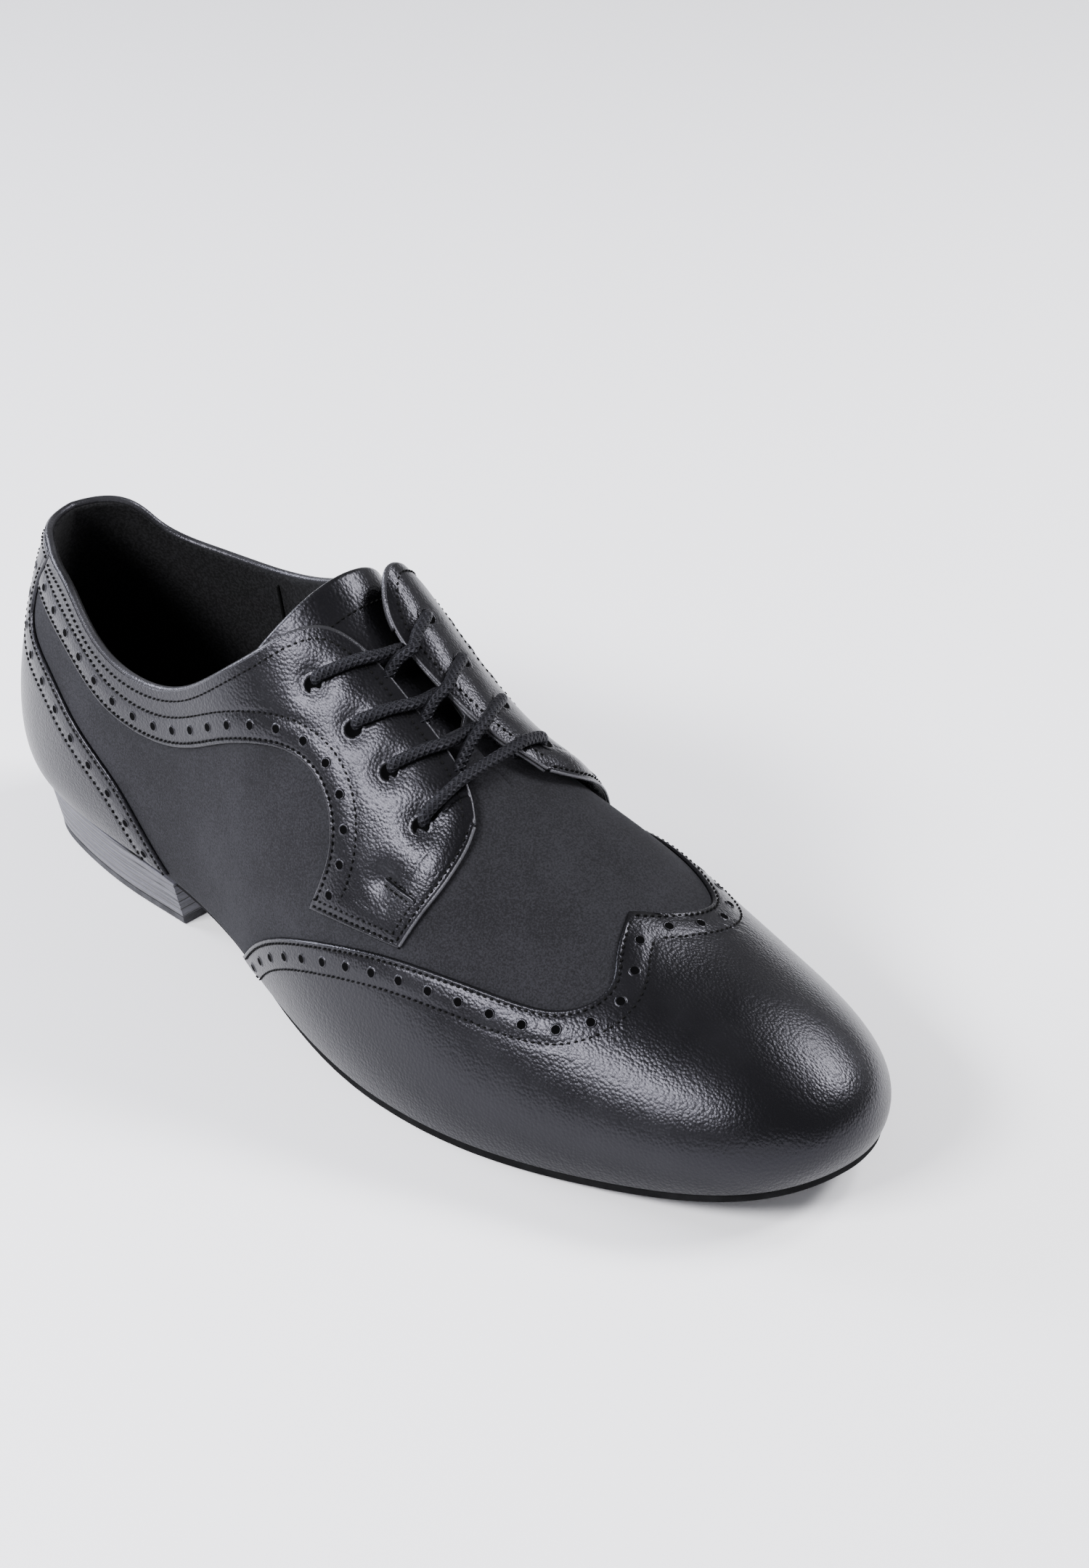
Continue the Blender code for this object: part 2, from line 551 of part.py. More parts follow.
def facing_edge(side, share):
    """Rise of the facing's edge at a share of the length."""
    rows = TOPLINE_LATERAL if side < 0 else TOPLINE_MEDIAL
    line = trace(rows, np.linspace(0, 1, 300))
    return float(np.interp(station(share), line[:, 0], line[:, 1]))


def facing_run(row, side, height):
    """Points of a cord from above an eyelet to above the facing's edge."""
    name = SIDE_NAME[side]
    share, rise, end = EYELETS["share_" + name][row], EYELETS[name][row], EYELETS["edge_" + name][row]
    edge = facing_edge(side, end)
    return [over_facing(share + (end - share) * k, rise + (edge - rise) * k, side, height + more)
            for k, more in ((0.0, 0.0), (0.35, 0.0), (0.7, 0.0003), (1.0, 0.0013))]


# The strands of a crossing go down between the facings and stop on the tongue, short of
# the lateral facing: rise on the lateral side where the strand from each side ends
LACE_END_RISE = {LATERAL: 0.982, MEDIAL: 0.972}


def make_laces():
    height = CLEARANCE + LACE / 2
    last = len(EYELETS["dive"]) - 1
    left, right = facing_run(last, LATERAL, height), facing_run(last, MEDIAL, height)
    pieces["lace_bar"] = tube(left + right[::-1], LACE / 2, steps=12)
    for row in range(last):
        dive = EYELETS["dive"][row]
        strands = []
        for side in (LATERAL, MEDIAL):
            run = facing_run(row, side, height)
            end = on_last(station(dive), LACE_END_RISE[side], LATERAL, LACE / 2 + STRAND_GAP, 0.0)[0]
            middle = (run[-1] + end) / 2
            middle[2] += 0.0012
            strands.append(tube(run + [middle, end], LACE / 2, steps=9))
        pieces["lace_crossing_%d" % (row + 1)] = strands[0]
        cutters["lace_over_%d" % (row + 1)] = strands[1]


def eyelet_cutter(share, rise, side):
    centre = on_last(station(share), rise, side, 0.0, FACING_FLAP_SHARE)[0]
    out = on_last(station(share), rise, side, 0.001, FACING_FLAP_SHARE)[0] - centre
    out /= np.linalg.norm(out)
    reach = LEATHER + UPPER_WALL + EYELET_REACH
    return tube([centre - out * reach, centre, centre + out * reach], EYELET_BORE / 2, sides=10, steps=2)


def make_eyelets():
    for side, name in SIDE_NAME.items():
        for row, share in enumerate(EYELETS["share_" + name]):
            cutters["eyelet_%s_%d" % (name, row + 1)] = eyelet_cutter(share, EYELETS[name][row], side)


FINISHES = {
    "nubuck": ((0.030, 0.030, 0.033), 0.92),
    "leather": ((0.018, 0.018, 0.021), 0.38),
    "textile": ((0.022, 0.022, 0.025), 0.85),
    "sole_edge": ((0.020, 0.020, 0.022), 0.70),
    "stacked_leather": ((0.050, 0.048, 0.052), 0.55),
    "rubber": ((0.012, 0.012, 0.013), 0.75),
    "cord": ((0.016, 0.016, 0.018), 0.80),
}
FINISH_OF = {
    "upper": "nubuck", "wing_tip": "leather", "heel_counter": "leather", "facing_lateral": "leather",
    "facing_medial": "leather", "tongue": "leather", "insole": "textile", "outsole": "sole_edge",
    "heel": "stacked_leather", "heel_top_piece": "rubber",
}


def material(name):
    finish = FINISH_OF.get(name, "cord")
    colour, roughness = FINISHES[finish]
    mat = bpy.data.materials.new(name + "_" + finish)
    mat.use_nodes = True
    shader = mat.node_tree.nodes["Principled BSDF"]
    shader.inputs["Base Color"].default_value = (*colour, 1)
    shader.inputs["Roughness"].default_value = roughness
    shader.inputs["Metallic"].default_value = 0.0
    return mat


def add_object(name, points, faces, shift):
    mesh = bpy.data.meshes.new(name)
    mesh.from_pydata([Vector(p) for p in points + shift], [], faces)
    bm = bmesh.new()
    bm.from_mesh(mesh)
    bmesh.ops.triangulate(bm, faces=[f for f in bm.faces if len(f.verts) == 4])
    bmesh.ops.recalc_face_normals(bm, faces=bm.faces)
    bm.to_mesh(mesh)
    bm.free()
    obj = bpy.data.objects.new(name, mesh)
    bpy.context.collection.objects.link(obj)
    return obj


def boolean(obj, cutter, operation):
    mod = obj.modifiers.new(operation.lower() + "_" + cutter.name, "BOOLEAN")
    mod.operation = operation
    mod.solver = "EXACT"
    mod.object = cutter


def build():
    for obj in list(bpy.data.objects):
        bpy.data.objects.remove(obj, do_unlink=True)
    make_upper()
    make_wing_tip()
    make_counter()
    make_facing("facing_lateral", LATERAL, TOPLINE_LATERAL, BAND_LATERAL, TAB_FRONT)
    make_facing("facing_medial", MEDIAL, TOPLINE_MEDIAL, BAND_MEDIAL, TAB_FRONT_MEDIAL)
    make_tongue()
    make_outsole()
    make_insole()
    make_heel()
    make_laces()
    make_eyelets()

    everything = np.vstack([points for points, faces in pieces.values()])
    low, high = everything.min(0), everything.max(0)
    shift = np.array([-(low[0] + high[0]) / 2, -(low[1] + high[1]) / 2, 0.0])

    hidden = {}
    for name, (points, faces) in cutters.items():
        guide = add_object(name, points, faces, shift)
        guide.hide_render = True
        guide.display_type = "WIRE"
        hidden[name] = guide
    for name, (points, faces) in pieces.items():
        obj = add_object(name, points, faces, shift)
        obj.data.materials.append(material(name))
        obj.data.shade_smooth()
        obj.data.set_sharp_from_angle(angle=0.7)
        if "outline_" + name in hidden:
            boolean(obj, hidden["outline_" + name], "INTERSECT")
        if name.startswith("lace_crossing"):
            boolean(obj, hidden["lace_over_" + name[-1]], "UNION")
        for row in range(len(EYELETS["dive"])):
            for column in ("lateral", "medial"):
                hole = hidden["eyelet_%s_%d" % (column, row + 1)]
                through_upper = name == "upper" and row < len(EYELETS["dive"]) - 1
                if name == "facing_" + column or through_upper:
                    boolean(obj, hole, "DIFFERENCE")


build()
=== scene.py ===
import bpy
import bmesh
import numpy as np
from math import pi, sin, cos, radians
from mathutils import Vector, Matrix


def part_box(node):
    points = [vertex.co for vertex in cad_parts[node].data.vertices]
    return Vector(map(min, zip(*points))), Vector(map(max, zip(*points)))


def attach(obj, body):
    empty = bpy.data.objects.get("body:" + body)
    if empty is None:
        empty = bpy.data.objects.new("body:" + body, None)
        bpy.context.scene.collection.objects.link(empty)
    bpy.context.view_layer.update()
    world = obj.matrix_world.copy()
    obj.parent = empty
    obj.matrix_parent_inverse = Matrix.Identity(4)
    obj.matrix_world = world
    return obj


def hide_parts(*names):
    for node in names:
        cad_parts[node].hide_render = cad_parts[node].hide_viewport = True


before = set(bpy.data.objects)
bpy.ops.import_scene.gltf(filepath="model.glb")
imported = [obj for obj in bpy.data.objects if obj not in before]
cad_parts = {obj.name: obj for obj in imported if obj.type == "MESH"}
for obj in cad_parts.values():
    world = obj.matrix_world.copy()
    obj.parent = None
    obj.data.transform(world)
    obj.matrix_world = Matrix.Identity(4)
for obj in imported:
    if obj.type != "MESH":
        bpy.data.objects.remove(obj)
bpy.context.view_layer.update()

lateral, medial = -1, 1
mm = 0.001

# The last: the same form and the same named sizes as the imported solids
last = {
    "length": 0.296, "halfBall": 0.047, "instep": 0.0942, "heel": 0.0155, "sole": 0.0028,
    "spring": 0.0105, "welt": 0.0006, "clearance": 0.0003,
    "lateralLift": 0.0015, "medialLift": 0.0052, "liftReach": 0.044, "liftFull": 0.022, "liftTurn": 0.008,
    "liftBack": 0.40, "liftBackRun": 0.06, "liftFrontRun": 0.05,
    "flare": 0.0040, "flareEnd": 0.60, "flareRun": 0.14,
    "archBack": 0.16, "archFront": 0.62, "toeRise": 0.71, "seatDrop": 0.03, "seatEnd": 0.20, "fan": 0.25,
    "quarterFlap": 0.600, "facingFlap": 0.670,
    "outline": [  # share of length, lateral and medial half width in half balls
        (0.000, 0.000, 0.000), (0.030, 0.415, 0.395), (0.100, 0.579, 0.570), (0.200, 0.660, 0.660),
        (0.320, 0.690, 0.617), (0.420, 0.810, 0.575), (0.520, 0.947, 0.670), (0.610, 1.010, 0.820),
        (0.680, 1.000, 0.957), (0.760, 0.905, 1.000), (0.840, 0.755, 0.925), (0.920, 0.565, 0.745),
        (0.975, 0.320, 0.500), (1.000, -0.105, 0.105)],
    "ridge": [  # share of length, height over the sole in instep heights
        (0.10, 1.273), (0.28, 1.440), (0.38, 1.308), (0.44, 1.126), (0.50, 1.000), (0.58, 0.870),
        (0.66, 0.735), (0.74, 0.592), (0.82, 0.464), (0.90, 0.379)],
    "spine": [(0.10, 0.011), (0.30, 0.011), (0.50, -0.021), (0.65, -0.032), (0.75, 0.000), (0.82, 0.038),
              (0.90, 0.096)],
    "section": [  # share, swell lateral and medial, belly lateral and medial, crown lateral and medial
        (0.00, 0.300, 0.300, 0.20, 0.20, 0.53, 0.53), (0.10, 0.320, 0.275, 0.20, 0.21, 0.38, 0.42),
        (0.22, 0.190, 0.190, 0.23, 0.22, 0.74, 0.76), (0.34, 0.170, 0.190, 0.25, 0.28, 0.81, 0.80),
        (0.44, 0.170, 0.210, 0.34, 0.46, 0.74, 0.90), (0.54, 0.153, 0.170, 0.40, 0.45, 0.62, 0.70),
        (0.64, 0.128, 0.145, 0.42, 0.47, 0.56, 0.68), (0.76, 0.128, 0.132, 0.47, 0.51, 0.60, 0.68),
        (0.88, 0.149, 0.149, 0.50, 0.50, 0.65, 0.67), (1.00, 0.153, 0.153, 0.50, 0.50, 0.68, 0.68)],
}


class Spline:
    # natural cubic spline through rows of points
    def __init__(self, x, y):
        self.x = np.asarray(x, float)
        self.y = np.asarray(y, float).reshape(len(self.x), -1)
        h = np.diff(self.x)
        n = len(self.x)
        a = np.eye(n)
        b = np.zeros_like(self.y)
        for i in range(1, n - 1):
            a[i, i - 1:i + 2] = h[i - 1], 2 * (h[i - 1] + h[i]), h[i]
            b[i] = 6 * ((self.y[i + 1] - self.y[i]) / h[i] - (self.y[i] - self.y[i - 1]) / h[i - 1])
        self.bend = np.linalg.solve(a, b)

    def __call__(self, q):
        q = np.asarray(q, float)
        i = np.clip(np.searchsorted(self.x, q) - 1, 0, len(self.x) - 2)
        h = (self.x[i + 1] - self.x[i])[..., None]
        a = (self.x[i + 1] - q)[..., None] / h
        b = 1 - a
        value = (a * self.y[i] + b * self.y[i + 1]
                 + ((a ** 3 - a) * self.bend[i] + (b ** 3 - b) * self.bend[i + 1]) * h ** 2 / 6)
        return value[..., 0] if self.y.shape[1] == 1 else value


def smooth(x):
    # 0 to 1 with level ends
    x = np.clip(x, 0, 1)
    return x * x * (3 - 2 * x)


def bump(distance, reach):
    # 1 in the middle, dying away over the reach
    return np.exp(-(distance / reach) ** 2)


def station(share):
    # station w runs evenly round the last's ends: share of the length = (1 - cos(pi w)) / 2
    return np.arccos(1 - 2 * np.asarray(share, float)) / pi


def lengthAt(w):
    return last["length"] * (1 - np.cos(pi * w)) / 2


def underside(x):
    share = x / last["length"]
    arch = smooth((last["archFront"] - share) / (last["archFront"] - last["archBack"]))
    back = np.clip((last["seatEnd"] - share) / last["seatEnd"], 0, 1)
    front = np.clip((share - last["toeRise"]) / (1 - last["toeRise"]), 0, 1) ** 2
    return last["heel"] * (arch * (1 - last["seatDrop"]) + back * last["seatDrop"]) + last["spring"] * front


def soleTop(x):
    return underside(x) + last["sole"]


outlineRows = np.array(last["outline"])
sideLine = {
    lateral: Spline(station(outlineRows[:, 0]), -outlineRows[:, 1] * last["halfBall"]),
    medial: Spline(station(outlineRows[:, 0]), outlineRows[:, 2] * last["halfBall"]),
}
ridgeRows, spineRows, sectionRows = [np.array(last[k]) for k in ("ridge", "spine", "section")]
ridgeLine = Spline(ridgeRows[:, 0] * last["length"], ridgeRows[:, 1] * last["instep"])
spineLine = Spline(spineRows[:, 0] * last["length"], spineRows[:, 1] * last["halfBall"])
sectionLine = Spline(station(sectionRows[:, 0]), sectionRows[:, 1:])


def ridgeHeight(x):
    return soleTop(x) + last["clearance"] + ridgeLine(x)


def spinePlace(x):
    fan, length = last["fan"] * last["length"], last["length"]
    heel = fan / 2 + x ** 2 / (2 * fan)
    toe = length - fan / 2 - (length - x) ** 2 / (2 * fan)
    return np.where(x < fan, heel, np.where(x > length - fan, toe, x))


def barePoint(w, t, side, flap, even=False):
    # the last at station w and rise t, 0 at the sole and 1 on the ridge; even: both sides lifted alike
    x = lengthAt(w)
    y = np.where(side < 0, sideLine[lateral](w), sideLine[medial](w))
    cx = spinePlace(x)
    cy = spineLine(cx)
    reach = np.hypot(x - cx, y - cy)
    dx, dy = (x - cx) / reach, (y - cy) / reach
    top = ridgeHeight(cx)
    slope = (ridgeHeight(cx + 1e-5) - ridgeHeight(cx - 1e-5)) / 2e-5
    foot = soleTop(x) + last["clearance"]
    s = sectionLine(w)
    pick = np.where(side < 0, 0, 1)
    row = np.arange(len(s))
    swell, belly, crown = s[row, pick] * last["halfBall"], s[row, 2 + pick], s[row, 4 + pick]
    b0, b1, b2, b3 = (1 - t) ** 3, 3 * t * (1 - t) ** 2, 3 * t * t * (1 - t), t ** 3
    r = b0 * reach + b1 * (reach + swell) + b2 * crown * reach
    z = b0 * foot + b1 * (foot + belly * (top - foot)) + b2 * (top + slope * dx * crown * reach) + b3 * top
    px, py = cx + dx * r, cy + dy * r
    share = px / last["length"]
    outer, inner = last["lateralLift"], last["medialLift"]
    across = side * r / last["liftTurn"]
    flare = last["flare"] / 2 * (1 + np.tanh(2 * across - 1))
    flare = flare * smooth((last["flareEnd"] - share) / last["flareRun"])
    uneven = (outer + inner) / 2 + (inner - outer) / 2 * np.tanh(across) + flare
    lift = np.full(len(r), outer) if even else uneven
    lift = lift * smooth((last["liftReach"] - r) / (last["liftReach"] - last["liftFull"]))
    lift = lift * smooth((share - last["liftBack"]) / last["liftBackRun"])
    lift = lift * smooth((flap - share) / last["liftFrontRun"])
    return np.stack([px, py, z + lift], -1)


def bareNormal(w, t, side, flap, even=False):
    t = np.minimum(t, 0.985)
    e = 1e-3
    along = barePoint(w + e, t, side, flap, even) - barePoint(w - e, t, side, flap, even)
    up = barePoint(w, t + e, side, flap, even) - barePoint(w, t - e, side, flap, even)
    n = np.cross(along, up) * -side[:, None]
    return n / np.linalg.norm(n, axis=1)[:, None]


def spread(*arrays):
    return [np.ravel(a).astype(float) for a in np.broadcast_arrays(*arrays)]


def onLast(w, t, side, offset=0.0, flap=None, even=False, shaped=True, withNormal=False):
    # points of the last moved out along its normal, with the pulls round the lace holes
    flap = last["quarterFlap"] if flap is None else flap
    w, t, side, offset = spread(w, t, side, offset)
    w, t = np.clip(w, 0, 1), np.clip(t, 0, 1)
    p = barePoint(w, t, side, flap, even)
    n = bareNormal(w, t, side, flap, even)
    shared = (t > 0.9995) | (w < 1e-6) | (w > 1 - 1e-6)
    if shared.any():
        n[shared] += bareNormal(w[shared], t[shared], -side[shared], flap, even)
        n /= np.linalg.norm(n, axis=1)[:, None]
    if shaped:
        offset = offset + pullField(p, side)
    p = p + n * offset[:, None]
    return (p, n) if withNormal else p


# Where the pieces' edges run on the last: share of the length, rise, way along (a repeated way is a corner)
edges = {
    "topline": {
        lateral: [(0.000, 0.553, -0.12), (0.023, 0.546, -0.08), (0.074, 0.520, 0.00), (0.130, 0.483, 0.12),
                  (0.197, 0.411, 0.24), (0.268, 0.397, 0.34), (0.330, 0.448, 0.42), (0.399, 0.604, 0.52),
                  (0.437, 0.767, 0.60), (0.460, 0.850, 0.65), (0.491, 0.893, 0.70), (0.535, 0.904, 0.78),
                  (0.580, 0.897, 0.86), (0.617, 0.868, 0.93), (0.641, 0.807, 1.00)],
        medial: [(0.000, 0.553, -0.12), (0.017, 0.541, -0.08), (0.060, 0.485, 0.00), (0.129, 0.433, 0.12),
                 (0.210, 0.415, 0.24), (0.284, 0.450, 0.34), (0.345, 0.505, 0.42), (0.410, 0.605, 0.52),
                 (0.446, 0.770, 0.60), (0.459, 0.895, 0.65), (0.481, 0.976, 0.70), (0.532, 0.990, 0.78),
                 (0.580, 0.965, 0.86), (0.617, 0.932, 0.93), (0.641, 0.870, 1.00)]},
    "band": {
        lateral: [(0.057, 0.455, 0.00), (0.134, 0.390, 0.12), (0.209, 0.318, 0.24), (0.298, 0.326, 0.36),
                  (0.386, 0.432, 0.48), (0.468, 0.570, 0.60), (0.516, 0.563, 0.70), (0.533, 0.471, 0.78),
                  (0.523, 0.343, 0.86), (0.523, 0.343, 0.86), (0.579, 0.391, 0.93), (0.628, 0.431, 1.00)],
        medial: [(0.052, 0.412, 0.00), (0.129, 0.350, 0.12), (0.209, 0.333, 0.24), (0.298, 0.375, 0.36),
                 (0.386, 0.480, 0.48), (0.468, 0.585, 0.60), (0.516, 0.578, 0.70), (0.533, 0.490, 0.78),
                 (0.523, 0.375, 0.86), (0.523, 0.375, 0.86), (0.579, 0.430, 0.93), (0.628, 0.476, 1.00)]},
    "tabFront": {
        lateral: [(0.628, 0.431, 0.0), (0.639, 0.551, 0.3), (0.646, 0.657, 0.6), (0.646, 0.741, 0.8),
                  (0.641, 0.807, 1.0)],
        medial: [(0.628, 0.476, 0.0), (0.639, 0.596, 0.3), (0.646, 0.712, 0.6), (0.646, 0.796, 0.8),
                 (0.641, 0.870, 1.0)]},
    "counter": {
        lateral: [(0.272, 0.020, 0.00), (0.246, 0.105, 0.18), (0.210, 0.188, 0.36), (0.156, 0.261, 0.54),
                  (0.109, 0.330, 0.68), (0.068, 0.373, 0.80), (0.049, 0.415, 0.88), (0.050, 0.458, 0.93),
                  (0.071, 0.520, 1.00)],
        medial: [(0.272, 0.020, 0.00), (0.246, 0.105, 0.18), (0.210, 0.188, 0.36), (0.156, 0.261, 0.54),
                 (0.109, 0.325, 0.68), (0.064, 0.355, 0.80), (0.044, 0.385, 0.88), (0.043, 0.420, 0.93),
                 (0.057, 0.486, 1.00)]},
    "wing": {
        lateral: [(0.398, 0.008, 0.00), (0.431, 0.103, 0.08), (0.472, 0.190, 0.17), (0.514, 0.258, 0.26),
                  (0.565, 0.330, 0.36), (0.619, 0.398, 0.47), (0.669, 0.450, 0.57), (0.714, 0.496, 0.66),
                  (0.756, 0.543, 0.74), (0.786, 0.610, 0.82), (0.801, 0.698, 0.88), (0.800, 0.774, 0.92),
                  (0.786, 0.855, 0.955), (0.765, 1.000, 1.00)],
        medial: [(0.398, 0.008, 0.00), (0.431, 0.110, 0.08), (0.472, 0.205, 0.17), (0.514, 0.285, 0.26),
                 (0.565, 0.365, 0.36), (0.619, 0.437, 0.47), (0.669, 0.497, 0.57), (0.714, 0.555, 0.66),
                 (0.759, 0.635, 0.76), (0.775, 0.680, 0.80), (0.787, 0.761, 0.86), (0.788, 0.839, 0.91),
                 (0.781, 0.920, 0.95), (0.765, 1.000, 1.00)]},
}
toplineStart = -0.12  # the topline's way at the back of the heel
throatStart, throatEnd = 0.572, 0.577

eyelets = {  # share of the length, rise, front row last
    lateral: [(0.467, 0.733), (0.515, 0.745), (0.559, 0.743), (0.605, 0.707)],
    medial: [(0.498, 0.870), (0.535, 0.845), (0.573, 0.810), (0.617, 0.800)],
}


def trace(rows, at):
    # an edge's line of (station, rise) at ways along it, with a corner where a way is repeated
    rows = np.array(rows)
    ways = rows[:, 2]
    cuts = [0] + [i + 1 for i in range(len(ways) - 1) if ways[i] == ways[i + 1]] + [len(ways)]
    wt = np.stack([station(rows[:, 0]), rows[:, 1]], 1)
    at = np.asarray(at, float)
    out = np.empty((len(at), 2))
    for a, b in zip(cuts[:-1], cuts[1:]):
        inside = (at >= ways[a] - 1e-9) & (at <= ways[b - 1] + 1e-9)
        out[inside] = Spline(ways[a:b], wt[a:b])(at[inside])
    return out


def fillBetween(bottom, top, left, right, u, v):
    # a grid filled in between four edge lines
    u, v = u[:, None, None], v[None, :, None]
    ruled = (1 - v) * bottom[:, None] + v * top[:, None] + (1 - u) * left[None] + u * right[None]
    low = (1 - u) * (1 - v) * bottom[0] + u * (1 - v) * bottom[-1]
    high = (1 - u) * v * top[0] + u * v * top[-1]
    return ruled - low - high


# How the lacing pulls the facings: a dimple at each hole, a swell between holes, a dent at the bar tack
pulls = {
    "dimple": {lateral: 1.2 * mm, medial: 0.45 * mm}, "dimpleReach": 4.6 * mm,
    "swell": {lateral: 0.5 * mm, medial: 0.15 * mm}, "swellReach": 7.5 * mm,
    "swellOut": 4.5 * mm, "swellUp": 2.0 * mm,
    "tack": 1.2 * mm, "tackReach": 4.2 * mm, "tackPlace": (0.594, 0.535),
    "ridge": 0.5 * mm, "ridgeReach": 7.0 * mm,
    "ridgeFrom": (6.0 * mm, 5.0 * mm, -7.0 * mm),  # ahead, outward and up from the front hole
}
pullSpots = {lateral: [], medial: []}


def facingPoint(share, rise, side):
    return barePoint(np.array([station(share)]), np.array([rise]), np.array([side]), last["facingFlap"])[0]


def makePullSpots():
    for side in (lateral, medial):
        holes = [facingPoint(share, rise, side) for share, rise in eyelets[side]]
        for hole in holes:
            pullSpots[side].append((hole, -pulls["dimple"][side], pulls["dimpleReach"]))
        for a, b in zip(holes, holes[1:]):
            middle = (a + b) / 2 + np.array([0, -side * pulls["swellOut"], pulls["swellUp"]])
            pullSpots[side].append((middle, pulls["swell"][side], pulls["swellReach"]))
        tack = facingPoint(*pulls["tackPlace"], side)
        pullSpots[side].append((tack, -pulls["tack"], pulls["tackReach"]))
        ahead, out, up = pulls["ridgeFrom"]
        ridge = holes[-1] + np.array([ahead, side * out, up])
        pullSpots[side].append((ridge, pulls["ridge"], pulls["ridgeReach"]))


def pullField(p, side):
    total = np.zeros(len(p))
    for spotSide, spots in pullSpots.items():
        mine = side == spotSide
        for spot, height, reach in spots:
            total[mine] += height * bump(np.linalg.norm(p[mine] - spot, axis=1), reach)
    return total


makePullSpots()

# Mesh making
shift = np.zeros(3)  # from the last to the frame, set further down
pointsAtOnce = 4000


def quads(m, n, start=0):
    i, j = np.meshgrid(np.arange(m - 1), np.arange(n - 1), indexing="ij")
    a = (start + i * n + j).ravel()
    return np.stack([a, a + n, a + n + 1, a + 1], 1)


def addMesh(name, points, faces, materials, marks=None, faceMaterial=None):
    mesh = bpy.data.meshes.new(name)
    mesh.from_pydata((np.asarray(points) + shift).tolist(), [], [list(f) for f in faces])
    mesh.validate()
    if faceMaterial is not None and len(mesh.polygons) == len(faceMaterial):
        mesh.polygons.foreach_set("material_index", np.asarray(faceMaterial, dtype=np.int32))
    for label, values in (marks or {}).items():
        attribute = mesh.attributes.new(label, "FLOAT", "POINT")
        attribute.data.foreach_set("value", np.asarray(values, dtype=np.float32))
    mesh.shade_smooth()
    obj = bpy.data.objects.new(name, mesh)
    bpy.context.scene.collection.objects.link(obj)
    for material in materials:
        obj.data.materials.append(material)
    return obj


def weld(points, faces):
    # joins points that lie within a micrometre: the points that stay, and the ring of them round each face
    places = np.round(points * 1e6).astype(np.int64)
    _, keep, back = np.unique(places, axis=0, return_index=True, return_inverse=True)
    rings = back.ravel()[np.asarray(faces)].tolist()
    return keep, [[k for i, k in enumerate(ring) if k != ring[i - 1]] for ring in rings]


def rimOf(rings):
    # the sides that only one ring has
    count = {}
    for ring in rings:
        for a, b in zip(ring, ring[1:] + ring[:1]):
            count[(a, b)] = count.get((a, b), 0) + 1
    return [(a, b) for (a, b) in count if (b, a) not in count]


def closedSheet(name, outside, inside, faces, materials, innerSlot=0, rimSlot=0):
    # a wall between two grids of the same faces
    keep, rings = weld(outside, faces)
    rings = [ring for ring in rings if len(ring) > 2]
    n = len(keep)
    rim = rimOf(rings)
    solid = rings + [[k + n for k in reversed(ring)] for ring in rings]
    solid += [[b, a, a + n, b + n] for a, b in rim]
    slots = [0] * len(rings) + [innerSlot] * len(rings) + [rimSlot] * len(rim)
    return addMesh(name, np.vstack([outside[keep], inside[keep]]), solid, materials, None, slots)


def distanceTo(points, lines):
    # each point's distance to the nearest of the lines, at most 1 m
    best = np.full(len(points), 1.0)
    for line in lines:
        a, b = line[:-1], line[1:]
        ab = b - a
        size = np.maximum((ab ** 2).sum(1), 1e-14)
        for start in range(0, len(points), pointsAtOnce):
            part = slice(start, start + pointsAtOnce)
            p = points[part]
            k = np.clip(((p[:, None] - a[None]) * ab[None]).sum(2) / size, 0, 1)
            d = np.linalg.norm(p[:, None] - (a[None] + ab[None] * k[..., None]), axis=2).min(1)
            best[part] = np.minimum(best[part], d)
    return best


def crowded(n, share=0.9):
    # 0 to 1 with rows crowded at both ends, for crisp edges
    k = np.linspace(0, 1, n)
    return k - share * np.sin(2 * pi * k) / (2 * pi)


leather = {"thickness": 1.2 * mm, "low": 0.05 * mm, "edgeWall": 0.30 * mm, "edgeRound": 0.9 * mm,
           "rowOne": 1.4 * mm, "rowTwo": 8.4 * mm, "groove": 0.22 * mm, "grooveWidth": 0.45 * mm,
           "puff": 0.16 * mm}


def leatherTop(distance, rows):
    # height of a leather layer over the last: rounded cut edge, sunk stitch rows, a slight puff between them
    k = np.clip(distance / leather["edgeRound"], 0, 1)
    height = leather["edgeWall"] + (leather["thickness"] - leather["edgeWall"]) * np.sqrt(1 - (1 - k) ** 2)
    for row in rows:
        height = height - leather["groove"] * bump(distance - row, leather["grooveWidth"])
    if len(rows) > 1:
        middle, half = (rows[0] + rows[1]) / 2, (rows[1] - rows[0]) / 2
        height = height + leather["puff"] * smooth(1 - np.abs(distance - middle) / half)
    return height


def layOverlay(name, grids, freeEdges, rows, materials, flap=None):
    # freeEdges: 3-d lines that the distance is measured from; grids: (grid of station and rise, side or 0)
    outside, inside, faces = [], [], []
    count = 0
    for grid, side in grids:
        m, n = grid.shape[:2]
        w, t = grid[..., 0].ravel(), grid[..., 1].ravel()
        sides = np.where(w < 0, lateral, medial) if side == 0 else np.full(len(w), side)
        base = onLast(np.abs(w), t, sides, 0.0, flap)
        distance = distanceTo(base, freeEdges)
        outside.append(onLast(np.abs(w), t, sides, leatherTop(distance, rows), flap))
        inside.append(onLast(np.abs(w), t, sides, leather["low"], flap))
        ring = quads(m, n, count)
        faces.append(ring if side != medial else ring[:, ::-1])
        count += m * n
    return closedSheet(name, np.vstack(outside), np.vstack(inside), np.vstack(faces), materials)


def edgeLine(kind, side, start, end, count=220, flap=None):
    wt = trace(edges[kind][side], np.linspace(start, end, count))
    return onLast(wt[:, 0], wt[:, 1], side, 0.0, flap)


